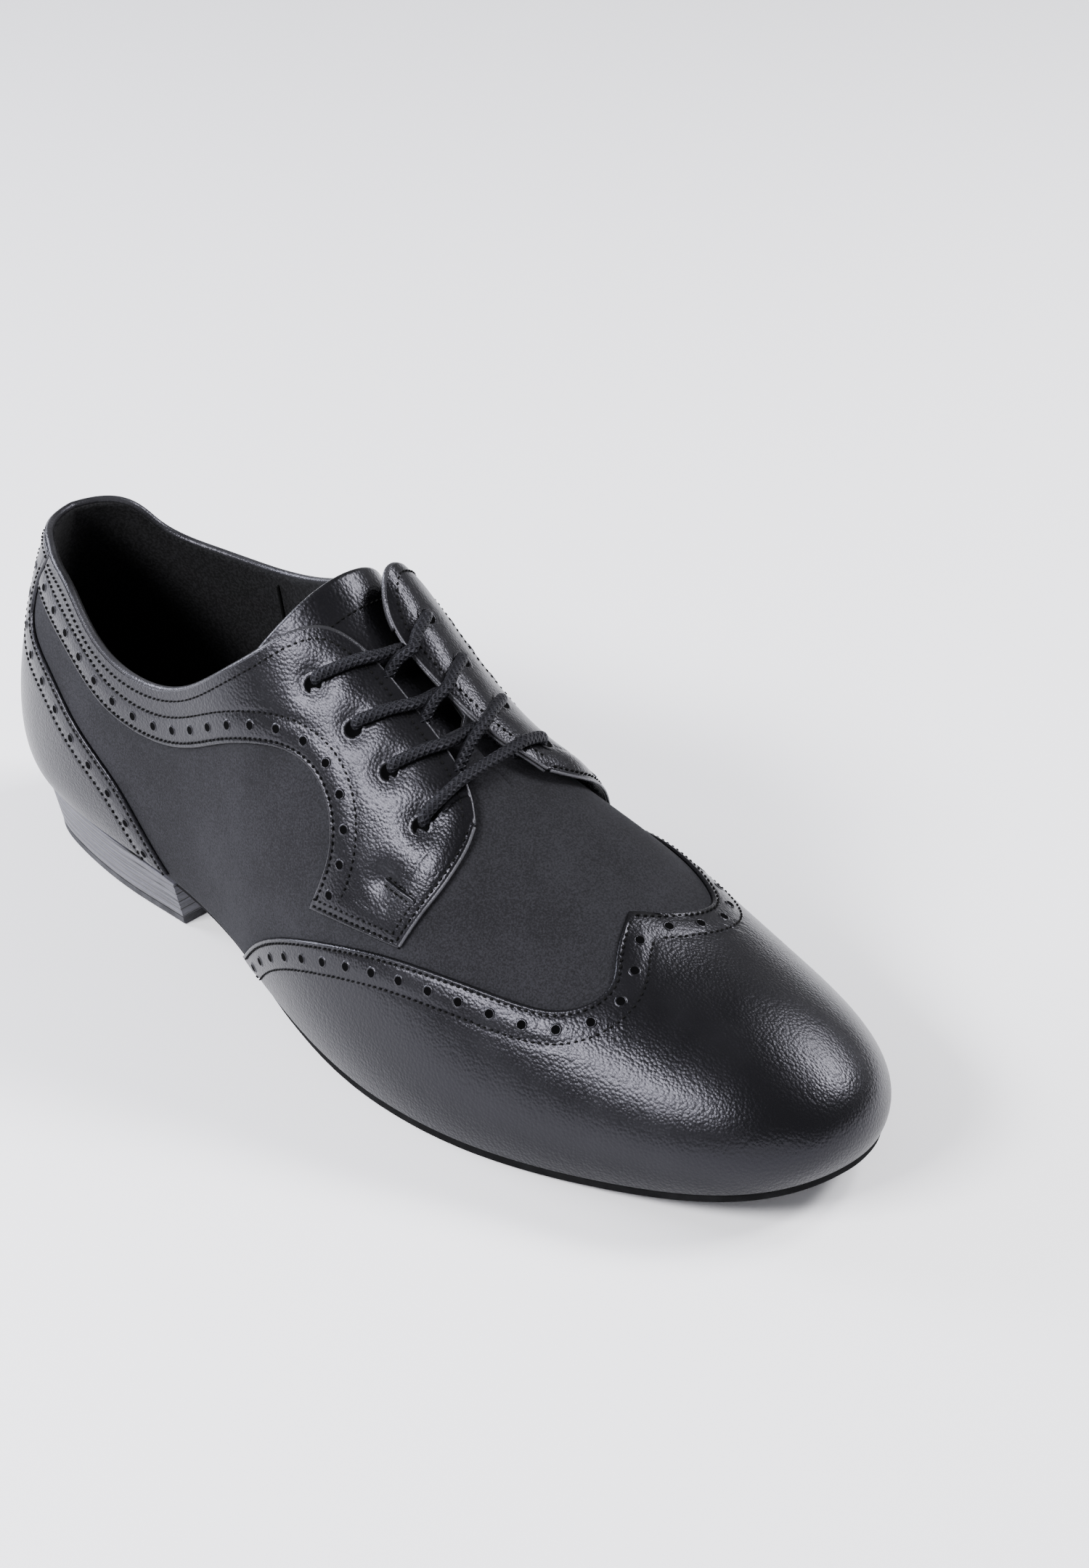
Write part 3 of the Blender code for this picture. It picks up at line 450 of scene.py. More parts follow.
# Materials
class Wire:
    # a node socket with the arithmetic written as Python
    def __init__(self, sheet, socket):
        self.sheet, self.socket = sheet, socket

    def maths(self, operation, a, b):
        return self.sheet.add("ShaderNodeMath", {"operation": operation}, {0: a, 1: b})

    def __add__(self, other):
        return self.maths("ADD", self, other)

    def __radd__(self, other):
        return self.maths("ADD", other, self)

    def __sub__(self, other):
        return self.maths("SUBTRACT", self, other)

    def __rsub__(self, other):
        return self.maths("SUBTRACT", other, self)

    def __mul__(self, other):
        return self.maths("MULTIPLY", self, other)

    def __rmul__(self, other):
        return self.maths("MULTIPLY", other, self)


class Sheet:
    # one material's node tree
    def __init__(self, name, colour, roughness, fixed=None):
        self.material = bpy.data.materials.new(name)
        self.material.use_nodes = True
        self.tree = self.material.node_tree
        self.shader = self.tree.nodes["Principled BSDF"]
        self.material.diffuse_color = (*colour, 1)
        self.set("Base Color", (*colour, 1))
        self.set("Roughness", roughness)
        for label, value in (fixed or {}).items():
            self.set(label, value)

    def set(self, label, value):
        if isinstance(value, Wire):
            self.tree.links.new(value.socket, self.shader.inputs[label])
        else:
            self.shader.inputs[label].default_value = value

    def add(self, kind, settings=None, inputs=None, output=0):
        # any other node: its settings first, then values or links by the name or number of the socket
        node = self.tree.nodes.new(kind)
        for label, value in (settings or {}).items():
            setattr(node, label, value)
        for label, value in (inputs or {}).items():
            if isinstance(value, Wire):
                self.tree.links.new(value.socket, node.inputs[label])
            else:
                node.inputs[label].default_value = value
        return Wire(self, node.outputs[output])

    def place(self, scale=(1, 1, 1)):
        where = self.add("ShaderNodeTexCoord", output="Object")
        return self.add("ShaderNodeMapping", {}, {"Vector": where, "Scale": scale})

    def noise(self, scale, detail=2.0, rough=0.5, where=None):
        return self.add("ShaderNodeTexNoise", {"noise_dimensions": "3D"},
                        {"Vector": where or self.place(), "Scale": scale, "Detail": detail,
                         "Roughness": rough})

    def cells(self, scale, where):
        return self.add("ShaderNodeTexVoronoi", {"feature": "F1"}, {"Vector": where, "Scale": scale},
                        "Distance")

    def levels(self, scale, distort):
        return self.add("ShaderNodeTexWave", {"wave_type": "BANDS", "bands_direction": "Z"},
                        {"Vector": self.place(), "Scale": scale, "Distortion": distort}, "Fac")

    def step(self, value, low, high, start=0.0, end=1.0):
        return self.add("ShaderNodeMapRange", {"interpolation_type": "SMOOTHSTEP", "clamp": True},
                        {"Value": value, "From Min": low, "From Max": high, "To Min": start, "To Max": end})

    def mark(self, label):
        return self.add("ShaderNodeAttribute", {"attribute_name": label}, output="Fac")

    def blend(self, mask, a, b):
        # a Mix node's colour sockets are its inputs 6 and 7 and its output 2
        return self.add("ShaderNodeMix", {"data_type": "RGBA"}, {0: mask, 6: a, 7: b}, 2)

    def relief(self, height, distance, strength=1.0):
        self.set("Normal", self.add("ShaderNodeBump", {}, {"Height": height, "Distance": distance,
                                                           "Strength": strength}))


def grey(value, blue=1.08):
    # a grey of that strength with a touch of blue
    return (value, value, value * blue, 1.0)


finishes = {
    "leatherColour": 0.0016, "leatherWorn": 0.0034, "leatherRough": (0.26, 0.34), "leatherGrain": 1150.0,
    "nubuckDark": 0.0072, "nubuckLight": 0.0176, "nubuckRough": 0.95, "nubuckNap": 1900.0,
    "liningDark": 0.0016, "liningLight": 0.0085,
    "cordDark": 0.0004, "cordLight": 0.0036, "threadColour": 0.0008,
    # the facings' cut-edge beads are lighter than the leather: a painted highlight along the edges
    "edgeColour": 0.022, "edgeHighlightColour": 0.05, "soleColour": 0.0042, "suedeColour": 0.045,
    "stackDark": 0.034, "stackLight": 0.075, "rubberColour": 0.034,
}


def makeLeather(name, grain=1.0, colour=None):
    base = colour or finishes["leatherColour"]
    s = Sheet(name, (base, base, base), 0.30,
              {"IOR": 1.5, "Specular IOR Level": 0.26, "Specular Tint": (0.88, 0.87, 1.0, 1)})
    pebbles = s.cells(finishes["leatherGrain"] * grain, s.place((1, 1.25, 1)))
    fine = s.noise(finishes["leatherGrain"] * 2.2 * grain, 2.0, 0.6)
    broad = s.noise(38, 3, 0.55)
    s.set("Base Color", s.blend(s.step(broad, 0.40, 0.70), grey(base), grey(finishes["leatherWorn"])))
    low, high = finishes["leatherRough"]
    s.set("Roughness", s.step(broad * 0.6 + fine * 0.4, 0.32, 0.68, low, high))
    soft = s.noise(150, 2, 0.5)
    s.relief(fine * 0.4 - pebbles * 1.0 + soft * 0.6, 0.000105, 0.75)
    return s.material


def makeNubuck(name):
    s = Sheet(name, (0.035, 0.035, 0.038), finishes["nubuckRough"],
              {"Sheen Weight": 0.02, "Sheen Roughness": 0.5, "Sheen Tint": (0.55, 0.56, 0.62, 1),
               "Specular IOR Level": 0.12})
    nap = s.noise(finishes["nubuckNap"], 3, 0.7)
    cloud = s.noise(46, 4, 0.6)
    tone = s.step(nap * 0.75 + cloud * 0.25, 0.38, 0.64)
    dark, light = grey(finishes["nubuckDark"], 1.14), grey(finishes["nubuckLight"], 1.16)
    s.set("Base Color", s.blend(tone, dark, light))
    s.relief(nap * 0.7 + s.noise(900, 2, 0.6) * 0.5, 0.00016, 0.8)
    return s.material


def makeLining(name):
    s = Sheet(name, (0.016, 0.016, 0.018), 0.92,
              {"Sheen Weight": 0.02, "Sheen Roughness": 0.5, "Specular IOR Level": 0.12})
    weave = s.noise(1300, 2, 0.6)
    s.set("Base Color", s.blend(s.step(weave, 0.38, 0.66), grey(finishes["liningDark"]),
                                grey(finishes["liningLight"])))
    s.relief(weave, 0.00015, 0.5)
    return s.material


def makeCord(name):
    # braid drawn from the cord's own turns and run, kept as marks on its mesh
    s = Sheet(name, (0.02, 0.02, 0.022), 0.55,
              {"Specular IOR Level": 0.22, "Specular Tint": (0.86, 0.86, 1.0, 1)})
    run, turn = s.mark("run"), s.mark("turn")
    left = s.add("ShaderNodeMath", {"operation": "SINE"}, {0: run * 4.0 + turn * 5.0})
    right = s.add("ShaderNodeMath", {"operation": "SINE"}, {0: run * 4.0 - turn * 5.0})
    braid = s.add("ShaderNodeMath", {"operation": "MAXIMUM"}, {0: left, 1: right})
    fibre = s.noise(2600, 2, 0.6)
    tone = s.step(braid * 0.7 + fibre * 0.6, 0.2, 1.1)
    s.set("Base Color", s.blend(tone, grey(finishes["cordDark"], 1.2), grey(finishes["cordLight"], 1.2)))
    s.relief(braid * 0.9 + fibre * 0.3, 0.00042, 0.9)
    return s.material


def makeThread(name):
    s = Sheet(name, (finishes["threadColour"],) * 3, 0.8, {"Specular IOR Level": 0.12})
    s.relief(s.noise(5200, 1, 0.5), 0.00008, 0.5)
    return s.material


def makeSole(name, colour, rough):
    s = Sheet(name, (colour,) * 3, rough, {"Specular IOR Level": 0.06})
    broad = s.noise(160, 3, 0.6)
    s.set("Base Color", s.blend(s.step(broad, 0.35, 0.7), grey(colour * 0.8), grey(colour * 1.5)))
    s.relief(s.noise(900, 3, 0.6), 0.0002, 0.4)
    return s.material


def makeStack(name):
    # heel lifts: fine level lines with streaks along them
    s = Sheet(name, (0.05, 0.05, 0.055), 0.5)
    streak = s.noise(60, 3, 0.6, s.place((1, 1, 26)))
    line = s.levels(118, 0.6)
    grain = s.noise(1400, 2, 0.6)
    tone = s.step(streak * 0.75 + grain * 0.25, 0.30, 0.70)
    colour = s.blend(tone, grey(finishes["stackDark"], 1.2), grey(finishes["stackLight"], 1.2))
    s.set("Base Color", s.blend(s.step(line, 0.0, 0.10), grey(0.008), colour))
    s.relief(grain * 0.4 + s.step(line, 0.0, 0.12), 0.0003, 0.5)
    return s.material


paint = {
    "leather": makeLeather("shoeLeather"),
    "tongueLeather": makeLeather("tongueLeather", 0.8),
    "edgeLeather": makeLeather("edgeLeather", 1.4, finishes["edgeColour"]),
    # the facings' cut-edge beads: a lighter leather colour, painted highlight along the edges
    "paintedHighlightEdge": makeLeather("paintedHighlightEdge", 1.4, finishes["edgeHighlightColour"]),
    "nubuck": makeNubuck("charcoalNubuck"),
    "lining": makeLining("innerLining"),
    "cord": makeCord("laceCord"),
    "thread": makeThread("sewingThread"),
    # holes: near black with almost no shine, painted shade for the inside of the punched and lace holes
    "hole": Sheet("holeShadeDisc", (0.0006, 0.0006, 0.0007), 0.95, {"Specular IOR Level": 0.04}).material,
    "sole": makeSole("soleEdge", finishes["soleColour"], 0.9),
    "suede": makeSole("suedeTread", finishes["suedeColour"], 0.95),
    "stack": makeStack("heelStack"),
    "rubber": makeSole("topPieceRubber", finishes["rubberColour"], 0.6),
}
print("materials made")

# The sole's outline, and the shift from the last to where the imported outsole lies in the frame
outsole = {"weltFrom": 0.42, "weltRun": 0.15, "forefootFrom": 0.36, "forefootRun": 0.12, "tuck": 1.3 * mm,
           "under": 0.25 * mm, "lip": 0.50 * mm, "shoulder": 0.30 * mm, "belly": 0.05 * mm,
           "bevel": 0.35 * mm, "across": 14, "along": 420}


def planLine(w, out):
    # the two sides of the last's plan moved outward, meeting at heel and toe
    lines = []
    for side in (lateral, medial):
        line = sideLine[side]
        tx, ty = lengthAt(w + 1e-3) - lengthAt(w - 1e-3), line(w + 1e-3) - line(w - 1e-3)
        size = np.hypot(tx, ty)
        lines.append(np.stack([lengthAt(w) - side * ty / size * out, line(w) + side * tx / size * out], 1))
    ends = (w < 1e-6) | (w > 1 - 1e-6)
    middle = (lines[0] + lines[1]) / 2
    for line in lines:
        line[ends] = middle[ends]
    return lines


def weltOut(w):
    return last["welt"] * smooth((lengthAt(w) / last["length"] - outsole["weltFrom"]) / outsole["weltRun"])


soleW = np.linspace(0, 1, 400)
ownSole = np.vstack(planLine(soleW, weltOut(soleW)))
boxLow, boxHigh = [np.array(c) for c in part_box("outsole")]
shift[:2] = (boxLow[:2] + boxHigh[:2]) / 2 - (ownSole.min(0) + ownSole.max(0)) / 2
print("shift to the frame", shift.round(5))

# Camera, solved on the photograph: turn, rise and roll in degrees, focal length and height in its pixels
lens = {"azimuth": 46.96, "elevation": 31.56, "roll": -2.53, "focal": 4617.0, "right": -33.64 * mm,
        "up": -17.15 * mm, "distance": 0.884, "aim": (0.148, 0.0, 0.040), "frameHeight": 2160.0,
        "sensor": 36.0}


def makeCamera():
    a, e, roll = radians(lens["azimuth"]), radians(lens["elevation"]), radians(lens["roll"])
    right = Vector((cos(a), sin(a), 0))
    back = Vector((sin(a) * cos(e), -cos(a) * cos(e), sin(e)))
    up = back.cross(right)
    right, up = cos(roll) * right + sin(roll) * up, cos(roll) * up - sin(roll) * right
    place = Vector(lens["aim"]) + Vector(shift) + back * lens["distance"]
    place = place - right * lens["right"] - up * lens["up"]
    data = bpy.data.cameras.new("camera")
    data.sensor_width = data.sensor_height = lens["sensor"]
    data.sensor_fit = "AUTO"
    data.lens = lens["focal"] * lens["sensor"] / lens["frameHeight"]
    camera = bpy.data.objects.new("camera", data)
    camera.matrix_world = Matrix.Translation(place) @ Matrix((right, up, back)).transposed().to_4x4()
    bpy.context.scene.collection.objects.link(camera)
    bpy.context.scene.camera = camera


makeCamera()

# Lights: name, place, aim, size across, power, tone
studio = {"worldTone": (0.95, 0.945, 1.0), "worldStrength": 0.52,
          "floorHalf": 4.0, "floorTone": (0.96, 0.96, 0.97), "floorRough": 0.8, "floorDrop": 0.2 * mm}
boxTone, heelTone = (0.97, 0.965, 1.0), (0.86, 0.88, 1.0)
lights = [
    ("innerBox", (0.62, 0.80, 0.84), (0.10, 0, 0.04), (0.30, 0.26), 17.0, boxTone),
    ("instepBox", (0.27, 0.80, 0.94), (0.05, 0, 0.06), (0.30, 0.30), 11.0, boxTone),
    ("outerBox", (-0.15, -0.90, 0.76), (0.06, 0, 0.04), (0.66, 0.26), 31.0, boxTone),
    ("frontCard", (0.95, -0.80, 0.16), (0.12, 0, 0.03), (1.2, 0.26), 2.6, boxTone),
    ("heelBox", (-1.15, -0.35, 0.55), (-0.12, 0, 0.05), (0.5, 0.5), 20.0, heelTone),
]


def makeLights():
    for name, place, aim, size, power, tone in lights:
        data = bpy.data.lights.new(name, "AREA")
        data.shape = "RECTANGLE"
        data.size, data.size_y = size
        data.energy = power
        data.color = tone
        lamp = bpy.data.objects.new(name, data)
        lamp.location = place
        lamp.rotation_euler = (Vector(aim) - Vector(place)).to_track_quat("-Z", "Y").to_euler()
        bpy.context.scene.collection.objects.link(lamp)
    world = bpy.data.worlds.new("studio")
    world.use_nodes = True
    sky = world.node_tree.nodes["Background"].inputs
    sky["Color"].default_value = (*studio["worldTone"], 1)
    sky["Strength"].default_value = studio["worldStrength"]
    bpy.context.scene.world = world


def makeFloor():
    half = studio["floorHalf"]
    mesh = bpy.data.meshes.new("floor")
    corners = [(-half, -half, 0), (half, -half, 0), (half, half, 0), (-half, half, 0)]
    mesh.from_pydata(corners, [], [(0, 1, 2, 3)])
    floor = bpy.data.objects.new("floor", mesh)
    floor.location.z = -studio["floorDrop"]
    bpy.context.scene.collection.objects.link(floor)
    floor.data.materials.append(Sheet("paleFloor", studio["floorTone"], studio["floorRough"]).material)


makeLights()
makeFloor()
print("camera, light and floor placed")


def finishPiece(obj, slot, *nodes):
    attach(obj, "root")
    if nodes:
        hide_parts(*nodes)
    return obj


# Upper of nubuck over its lining
upperCut = {"columns": 190, "rows": 56, "crowding": 0.35, "skin": 1.0 * mm, "wall": 1.8 * mm}


def edgeRise(side, w):
    # the topline's rise, run up to the ridge at the throat
    line = trace(edges["topline"][side], np.linspace(toplineStart, 1.0, 500))
    rise = np.interp(w, line[:, 0], line[:, 1])
    close = (w - station(throatStart)) / (station(throatEnd) - station(throatStart))
    return np.where(close <= 0, rise, rise + (1 - rise) * np.clip(close, 0, 1))


def upperGrids():
    k = np.linspace(0, 1, upperCut["columns"])
    w = k + upperCut["crowding"] * np.sin(2 * pi * k) / (2 * pi)
    for share in (throatStart, throatEnd):
        w[np.abs(w - station(share)).argmin()] = station(share)
    v = np.linspace(0, 1, upperCut["rows"])
    grids = []
    for side in (lateral, medial):
        rise = v * edgeRise(side, w)[:, None]
        grids.append((np.stack([np.broadcast_to(w[:, None], rise.shape), rise], -1), side))
    return grids


def makeUpper():
    outside, middle, inside, faces = [], [], [], []
    count = 0
    for grid, side in upperGrids():
        w, t = grid[..., 0].ravel(), grid[..., 1].ravel()
        outside.append(onLast(w, t, side, 0.0))
        middle.append(onLast(w, t, side, -upperCut["skin"]))
        inside.append(onLast(w, t, side, -upperCut["wall"]))
        ring = quads(*grid.shape[:2], count)
        faces.append(ring if side == lateral else ring[:, ::-1])
        count += len(w)
    outside, middle, inside, faces = [np.vstack(a) for a in (outside, middle, inside, faces)]
    upper = closedSheet("nubuckUpper", outside, middle, faces, [paint["nubuck"], paint["edgeLeather"]],
                        rimSlot=1)
    finishPiece(upper, "upper_nubuck", "upper")
    lining = closedSheet("shoeLining", middle, inside, faces, [paint["lining"]])
    finishPiece(lining, "insole_textile")


makeUpper()
print("upper and lining made")


# Leather overlays, each a grid between its edges; crowding gathers the grid's rows at the cut edges
wing = {"along": 240, "across": 60, "onEdge": 0.72, "crowding": 0.93, "ridge": 0.765, "tail": 0.398,
        "foot": 0.004}
counter = {"across": 150, "up": 90, "crowdUp": 0.5, "crowdAcross": 0.9, "topFrom": -0.004}
facing = {"across": 46, "crowding": 0.9, "corner": 0.86, "alongBand": 210, "alongTab": 60}
overlayRows = (leather["rowOne"], leather["rowTwo"])


def makeWing():
    foot = np.linspace(0, 1, wing["along"])
    v = crowded(wing["across"], wing["crowding"])
    grids, free = [], []
    ridgeFrom, tail = station(wing["ridge"]), station(wing["tail"])
    for side in (lateral, medial):
        first = foot[foot <= wing["onEdge"]]
        rest = (foot[foot > wing["onEdge"]] - wing["onEdge"]) / (1 - wing["onEdge"])
        edge = trace(edges["wing"][side], first / first[-1])
        top = np.vstack([edge, np.stack([ridgeFrom + (1 - ridgeFrom) * rest, np.ones(len(rest))], 1)])
        bottom = np.stack([tail + (1 - tail) * foot, np.full(len(foot), wing["foot"])], 1)
        left = bottom[0] * (1 - v[:, None]) + top[0] * v[:, None]
        right = bottom[-1] * (1 - v[:, None]) + top[-1] * v[:, None]
        grids.append((fillBetween(bottom, top, left, right, foot, v), side))
        free.append(edgeLine("wing", side, 0, 1))
    piece = layOverlay("wingTip", grids, free, overlayRows, [paint["leather"]])
    finishPiece(piece, "toe_leather", "wing_tip")


def makeCounter():
    v = crowded(counter["up"], counter["crowdUp"])
    left = trace(edges["counter"][lateral], v) * (-1, 1)  # stations of the outer side count as negative here
    right = trace(edges["counter"][medial], v)
    way = np.linspace(counter["topFrom"], toplineStart, counter["across"] // 2)
    topLateral = trace(edges["topline"][lateral], way) * (-1, 1)
    topMedial = trace(edges["topline"][medial], way[::-1])
    top = np.vstack([topLateral, topMedial[1:]])
    left[-1], right[-1] = top[0], top[-1]
    k = crowded(len(top), counter["crowdAcross"])
    bottom = np.stack([left[0, 0] + (right[0, 0] - left[0, 0]) * k, np.full(len(k), left[0, 1])], 1)
    place = np.linspace(0, 1, len(top))
    top = np.stack([np.interp(k, place, top[:, i]) for i in range(2)], 1)
    grid = fillBetween(bottom, top, left, right, k, v)
    free = [edgeLine("counter", side, 0, 1) for side in (lateral, medial)]
    piece = layOverlay("heelCounter", [(grid, 0)], free, overlayRows, [paint["leather"]])
    finishPiece(piece, "counter_leather", "heel_counter")


def makeFacing(name, side, node):
    corner, flap = facing["corner"], last["facingFlap"]
    bandWay = np.linspace(0, corner, facing["alongBand"])
    way = np.concatenate([bandWay, np.linspace(corner, 1, facing["alongTab"])[1:]])
    v = crowded(facing["across"], facing["crowding"])
    bottom, top = trace(edges["band"][side], way), trace(edges["topline"][side], way)
    left = bottom[0] + (top[0] - bottom[0]) * v[:, None]
    right = trace(edges["tabFront"][side], v)
    right[0], right[-1] = bottom[-1], top[-1]
    grid = fillBetween(bottom, top, left, right, np.linspace(0, 1, len(way)), v)
    free = [edgeLine("band", side, 0, corner - 1e-4, 300, flap),
            edgeLine("band", side, corner + 1e-4, 1, 60, flap),
            edgeLine("tabFront", side, 0, 1, 60, flap)]
    piece = layOverlay(name, [(grid, side)], free, overlayRows, [paint["leather"]], flap)
    finishPiece(piece, "facing_leather", node)


makeWing()
makeCounter()
makeFacing("facingLateral", lateral, "facing_lateral")
makeFacing("facingMedial", medial, "facing_medial")
print("leather overlays made")

# Tongue
tongue = {"top": 0.434, "corner": 0.398, "front": 0.634, "sideTop": 0.62, "sideFront": 0.82,
          "drop": 2.7 * mm, "wall": 2.6 * mm, "round": 1.2 * mm, "roundRun": 1.6 * mm,
          "backShare": 0.8, "along": 110, "half": 50, "crowding": 0.8, "sideCrowding": 1.6}


def tongueAt(u, v):
    back = tongue["top"] - (tongue["top"] - tongue["corner"]) * v ** 2
    share = back + (tongue["front"] - back) * u
    sideRise = tongue["sideTop"] + (tongue["sideFront"] - tongue["sideTop"]) * u
    return station(share), 1 - v * (1 - sideRise)


def onTongue(w, t, side, depth):
    return onLast(w, t, side, -tongue["drop"] - depth, even=True, shaped=False)


def makeTongue():
    along, half = tongue["along"], tongue["half"]
    sideways = 1 - (1 - np.linspace(0, 1, half)) ** tongue["sideCrowding"]
    u, v = np.meshgrid(crowded(along, tongue["crowding"]), sideways, indexing="ij")
    w, t = [a.ravel() for a in tongueAt(u, v)]
    way = np.linspace(0, 1, 80)
    outside, inside, faces = [], [], []
    for k, side in enumerate((lateral, medial)):
        base = onTongue(w, t, side, 0.0)
        edge = [onTongue(*tongueAt(np.zeros(80), way), side, 0.0),
                onTongue(*tongueAt(way, np.ones(80)), side, 0.0)]
        near = 1 - np.clip(distanceTo(base, edge) / tongue["roundRun"], 0, 1)
        sink = tongue["round"] * (1 - np.sqrt(1 - near ** 2))
        outside.append(onTongue(w, t, side, sink))
        inside.append(onTongue(w, t, side, tongue["wall"] - sink * tongue["backShare"]))
        ring = quads(along, half, k * along * half)
        faces.append(ring if side == medial else ring[:, ::-1])
    piece = closedSheet("tongueLeather", np.vstack(outside), np.vstack(inside), np.vstack(faces),
                        [paint["tongueLeather"], paint["lining"]], innerSlot=1)
    finishPiece(piece, "tongue_leather", "tongue")


makeTongue()

# Sole, insole and heel: slabs between plan outlines at their own heights
insole = {"in": 2.4 * mm, "topIn": 3.2 * mm, "side": 1.9 * mm, "top": 2.5 * mm,
          "shares": (0.012, 0.030, 0.968, 0.985), "along": 120, "across": 14}
heel = {"seatRim": 1.5 * mm, "breast": 0.273, "taper": 2.6 * mm, "rake": 1.0 * mm, "lifts": 6,
        "groove": 0.26 * mm, "grooveShare": 0.025, "blockShare": 0.86,
        "topPiece": 2.2 * mm, "topGap": 0.1 * mm, "topShare": 0.9, "bevel": 0.3 * mm, "bevelIn": 0.2 * mm,
        "along": 70, "crowding": 1.2, "across": 8}


def slabSheet(name, levels, materials, slots, across):
    # levels: (both sides' plan lines, height function) from the top down; the first and last are capped
    m = len(levels[0][0][0])
    points, faces, kinds = [], [], []
    k = np.linspace(0, 1, across)[None, :, None]
    for cap, (lines, height) in ((0, levels[0]), (1, levels[-1])):
        plan = (lines[0][:, None] * (1 - k) + lines[1][:, None] * k).reshape(-1, 2)
        ring = quads(m, across, sum(map(len, points)))
        points.append(np.column_stack([plan, height(plan[:, 0])]))
        ring = ring if cap == 0 else ring[:, ::-1]
        faces += ring.tolist()
        kinds += [slots[0] if cap == 0 else slots[-1]] * len(ring)
    border = []
    for lines, height in levels:
        plan = np.vstack([lines[0], lines[1][::-1]])
        border.append(sum(map(len, points)))
        points.append(np.column_stack([plan, height(plan[:, 0])]))
    n = 2 * m
    for level, (a, b) in enumerate(zip(border, border[1:])):
        for i in range(n):
            j = (i + 1) % n
            faces.append([a + i, a + j, b + j, b + i])
            kinds.append(slots[level + 1])
    points = np.vstack(points)
    keep, rings = weld(points, faces)
    sound = [(ring, kind) for ring, kind in zip(rings, kinds) if len(set(ring)) > 2]
    rings, kinds = zip(*sound)
    obj = addMesh(name, points[keep], rings, materials, None, kinds)
    bm = bmesh.new()
    bm.from_mesh(obj.data)
    bmesh.ops.recalc_face_normals(bm, faces=bm.faces)
    bm.to_mesh(obj.data)
    bm.free()
    obj.data.shade_smooth()
    obj.data.set_sharp_from_angle(angle=0.6)
    return obj


def makeOutsole():
    # the rim hides under the upper at the heel and waist, and stands up a little round the forefoot
    w = np.linspace(0, 1, outsole["along"])

    def forefoot(x):
        return smooth((x / last["length"] - outsole["forefootFrom"]) / outsole["forefootRun"])

    def rim(more):
        return planLine(w, weltOut(w) - outsole["tuck"] * (1 - forefoot(lengthAt(w))) + more)

    def lip(height):
        return lambda x: soleTop(x) - outsole["under"] + (height + outsole["under"]) * forefoot(x)

    levels = [(rim(-outsole["under"]), lip(outsole["lip"])), (rim(0.0), lip(outsole["shoulder"])),
              (rim(outsole["belly"]), lambda x: (soleTop(x) + underside(x)) / 2),
              (rim(0.0), lambda x: underside(x) + outsole["bevel"]), (rim(-outsole["bevel"]), underside)]
    piece = slabSheet("danceOutsole", levels, [paint["sole"], paint["suede"]], [0, 0, 0, 0, 0, 1],
                      outsole["across"])
    finishPiece(piece, "sole_leather", "outsole")


def makeInsole():
    back, backNext, frontNext, front = insole["shares"]
    w = station(np.concatenate([[back], np.linspace(backNext, frontNext, insole["along"]), [front]]))
    lines = planLine(w, -insole["in"])
    inner = planLine(w, -insole["topIn"])

    def above(height):
        return lambda x: soleTop(x) + last["clearance"] + height

    levels = [(inner, above(insole["top"])), (lines, above(insole["side"])), (lines, above(0.0))]
    piece = slabSheet("insoleSock", levels, [paint["lining"]], [0, 0, 0, 0], insole["across"])
    finishPiece(piece, "insole_textile", "insole")


def heelLines(w, taper, more=0.0):
    back = 1 - lengthAt(w) / lengthAt(w[-1])
    lines = planLine(w, more - taper * heel["taper"])
    for line in lines:
        line[:, 0] += taper * heel["rake"] * back
    return lines


def makeHeel():
    w = station(heel["breast"]) * np.linspace(0, 1, heel["along"]) ** heel["crowding"]
    low = heel["topPiece"] + heel["topGap"]
    share = heel["blockShare"]

    def level(k):
        # k runs from 0 at the seat to 1 at the block's foot
        return lambda x: (underside(x) + heel["seatRim"]) * (1 - k) + low * k

    def flat(z):
        return lambda x: np.full(len(x), z)

    levels = []
    for lift in range(heel["lifts"]):
        a, b = lift / heel["lifts"], (lift + 1) / heel["lifts"]
        for k, sunk in ((a, heel["groove"]), (a + heel["grooveShare"], 0.0), (b - heel["grooveShare"], 0.0)):
            levels.append((heelLines(w, k * share, -sunk), level(k)))
    levels.append((heelLines(w, share, -heel["groove"]), level(1.0)))
    block = slabSheet("heelBlock", levels, [paint["stack"]], [0] * (len(levels) + 1), heel["across"])
    finishPiece(block, "heel_stack", "heel")
    levels = [(heelLines(w, share), flat(heel["topPiece"])),
              (heelLines(w, heel["topShare"]), flat(heel["bevel"])),
              (heelLines(w, 1.0, -heel["bevelIn"]), flat(0.0))]
    piece = slabSheet("heelTopPiece", levels, [paint["rubber"]], [0] * 4, heel["across"])
    finishPiece(piece, "top_piece_rubber", "heel_top_piece")


makeOutsole()
makeInsole()
makeHeel()
print("tongue, sole, insole and heel made")


# Cords, beads and stitches
def resample(line, step):
    # points at even steps along a line, and how far along each lies
    way = np.concatenate([[0], np.cumsum(np.linalg.norm(np.diff(line[:, :3], axis=0), axis=1))])
    count = max(2, int(round(way[-1] / step)) + 1)
    at = np.linspace(0, way[-1], count)
    return np.stack([np.interp(at, way, line[:, i]) for i in range(line.shape[1])], 1), at


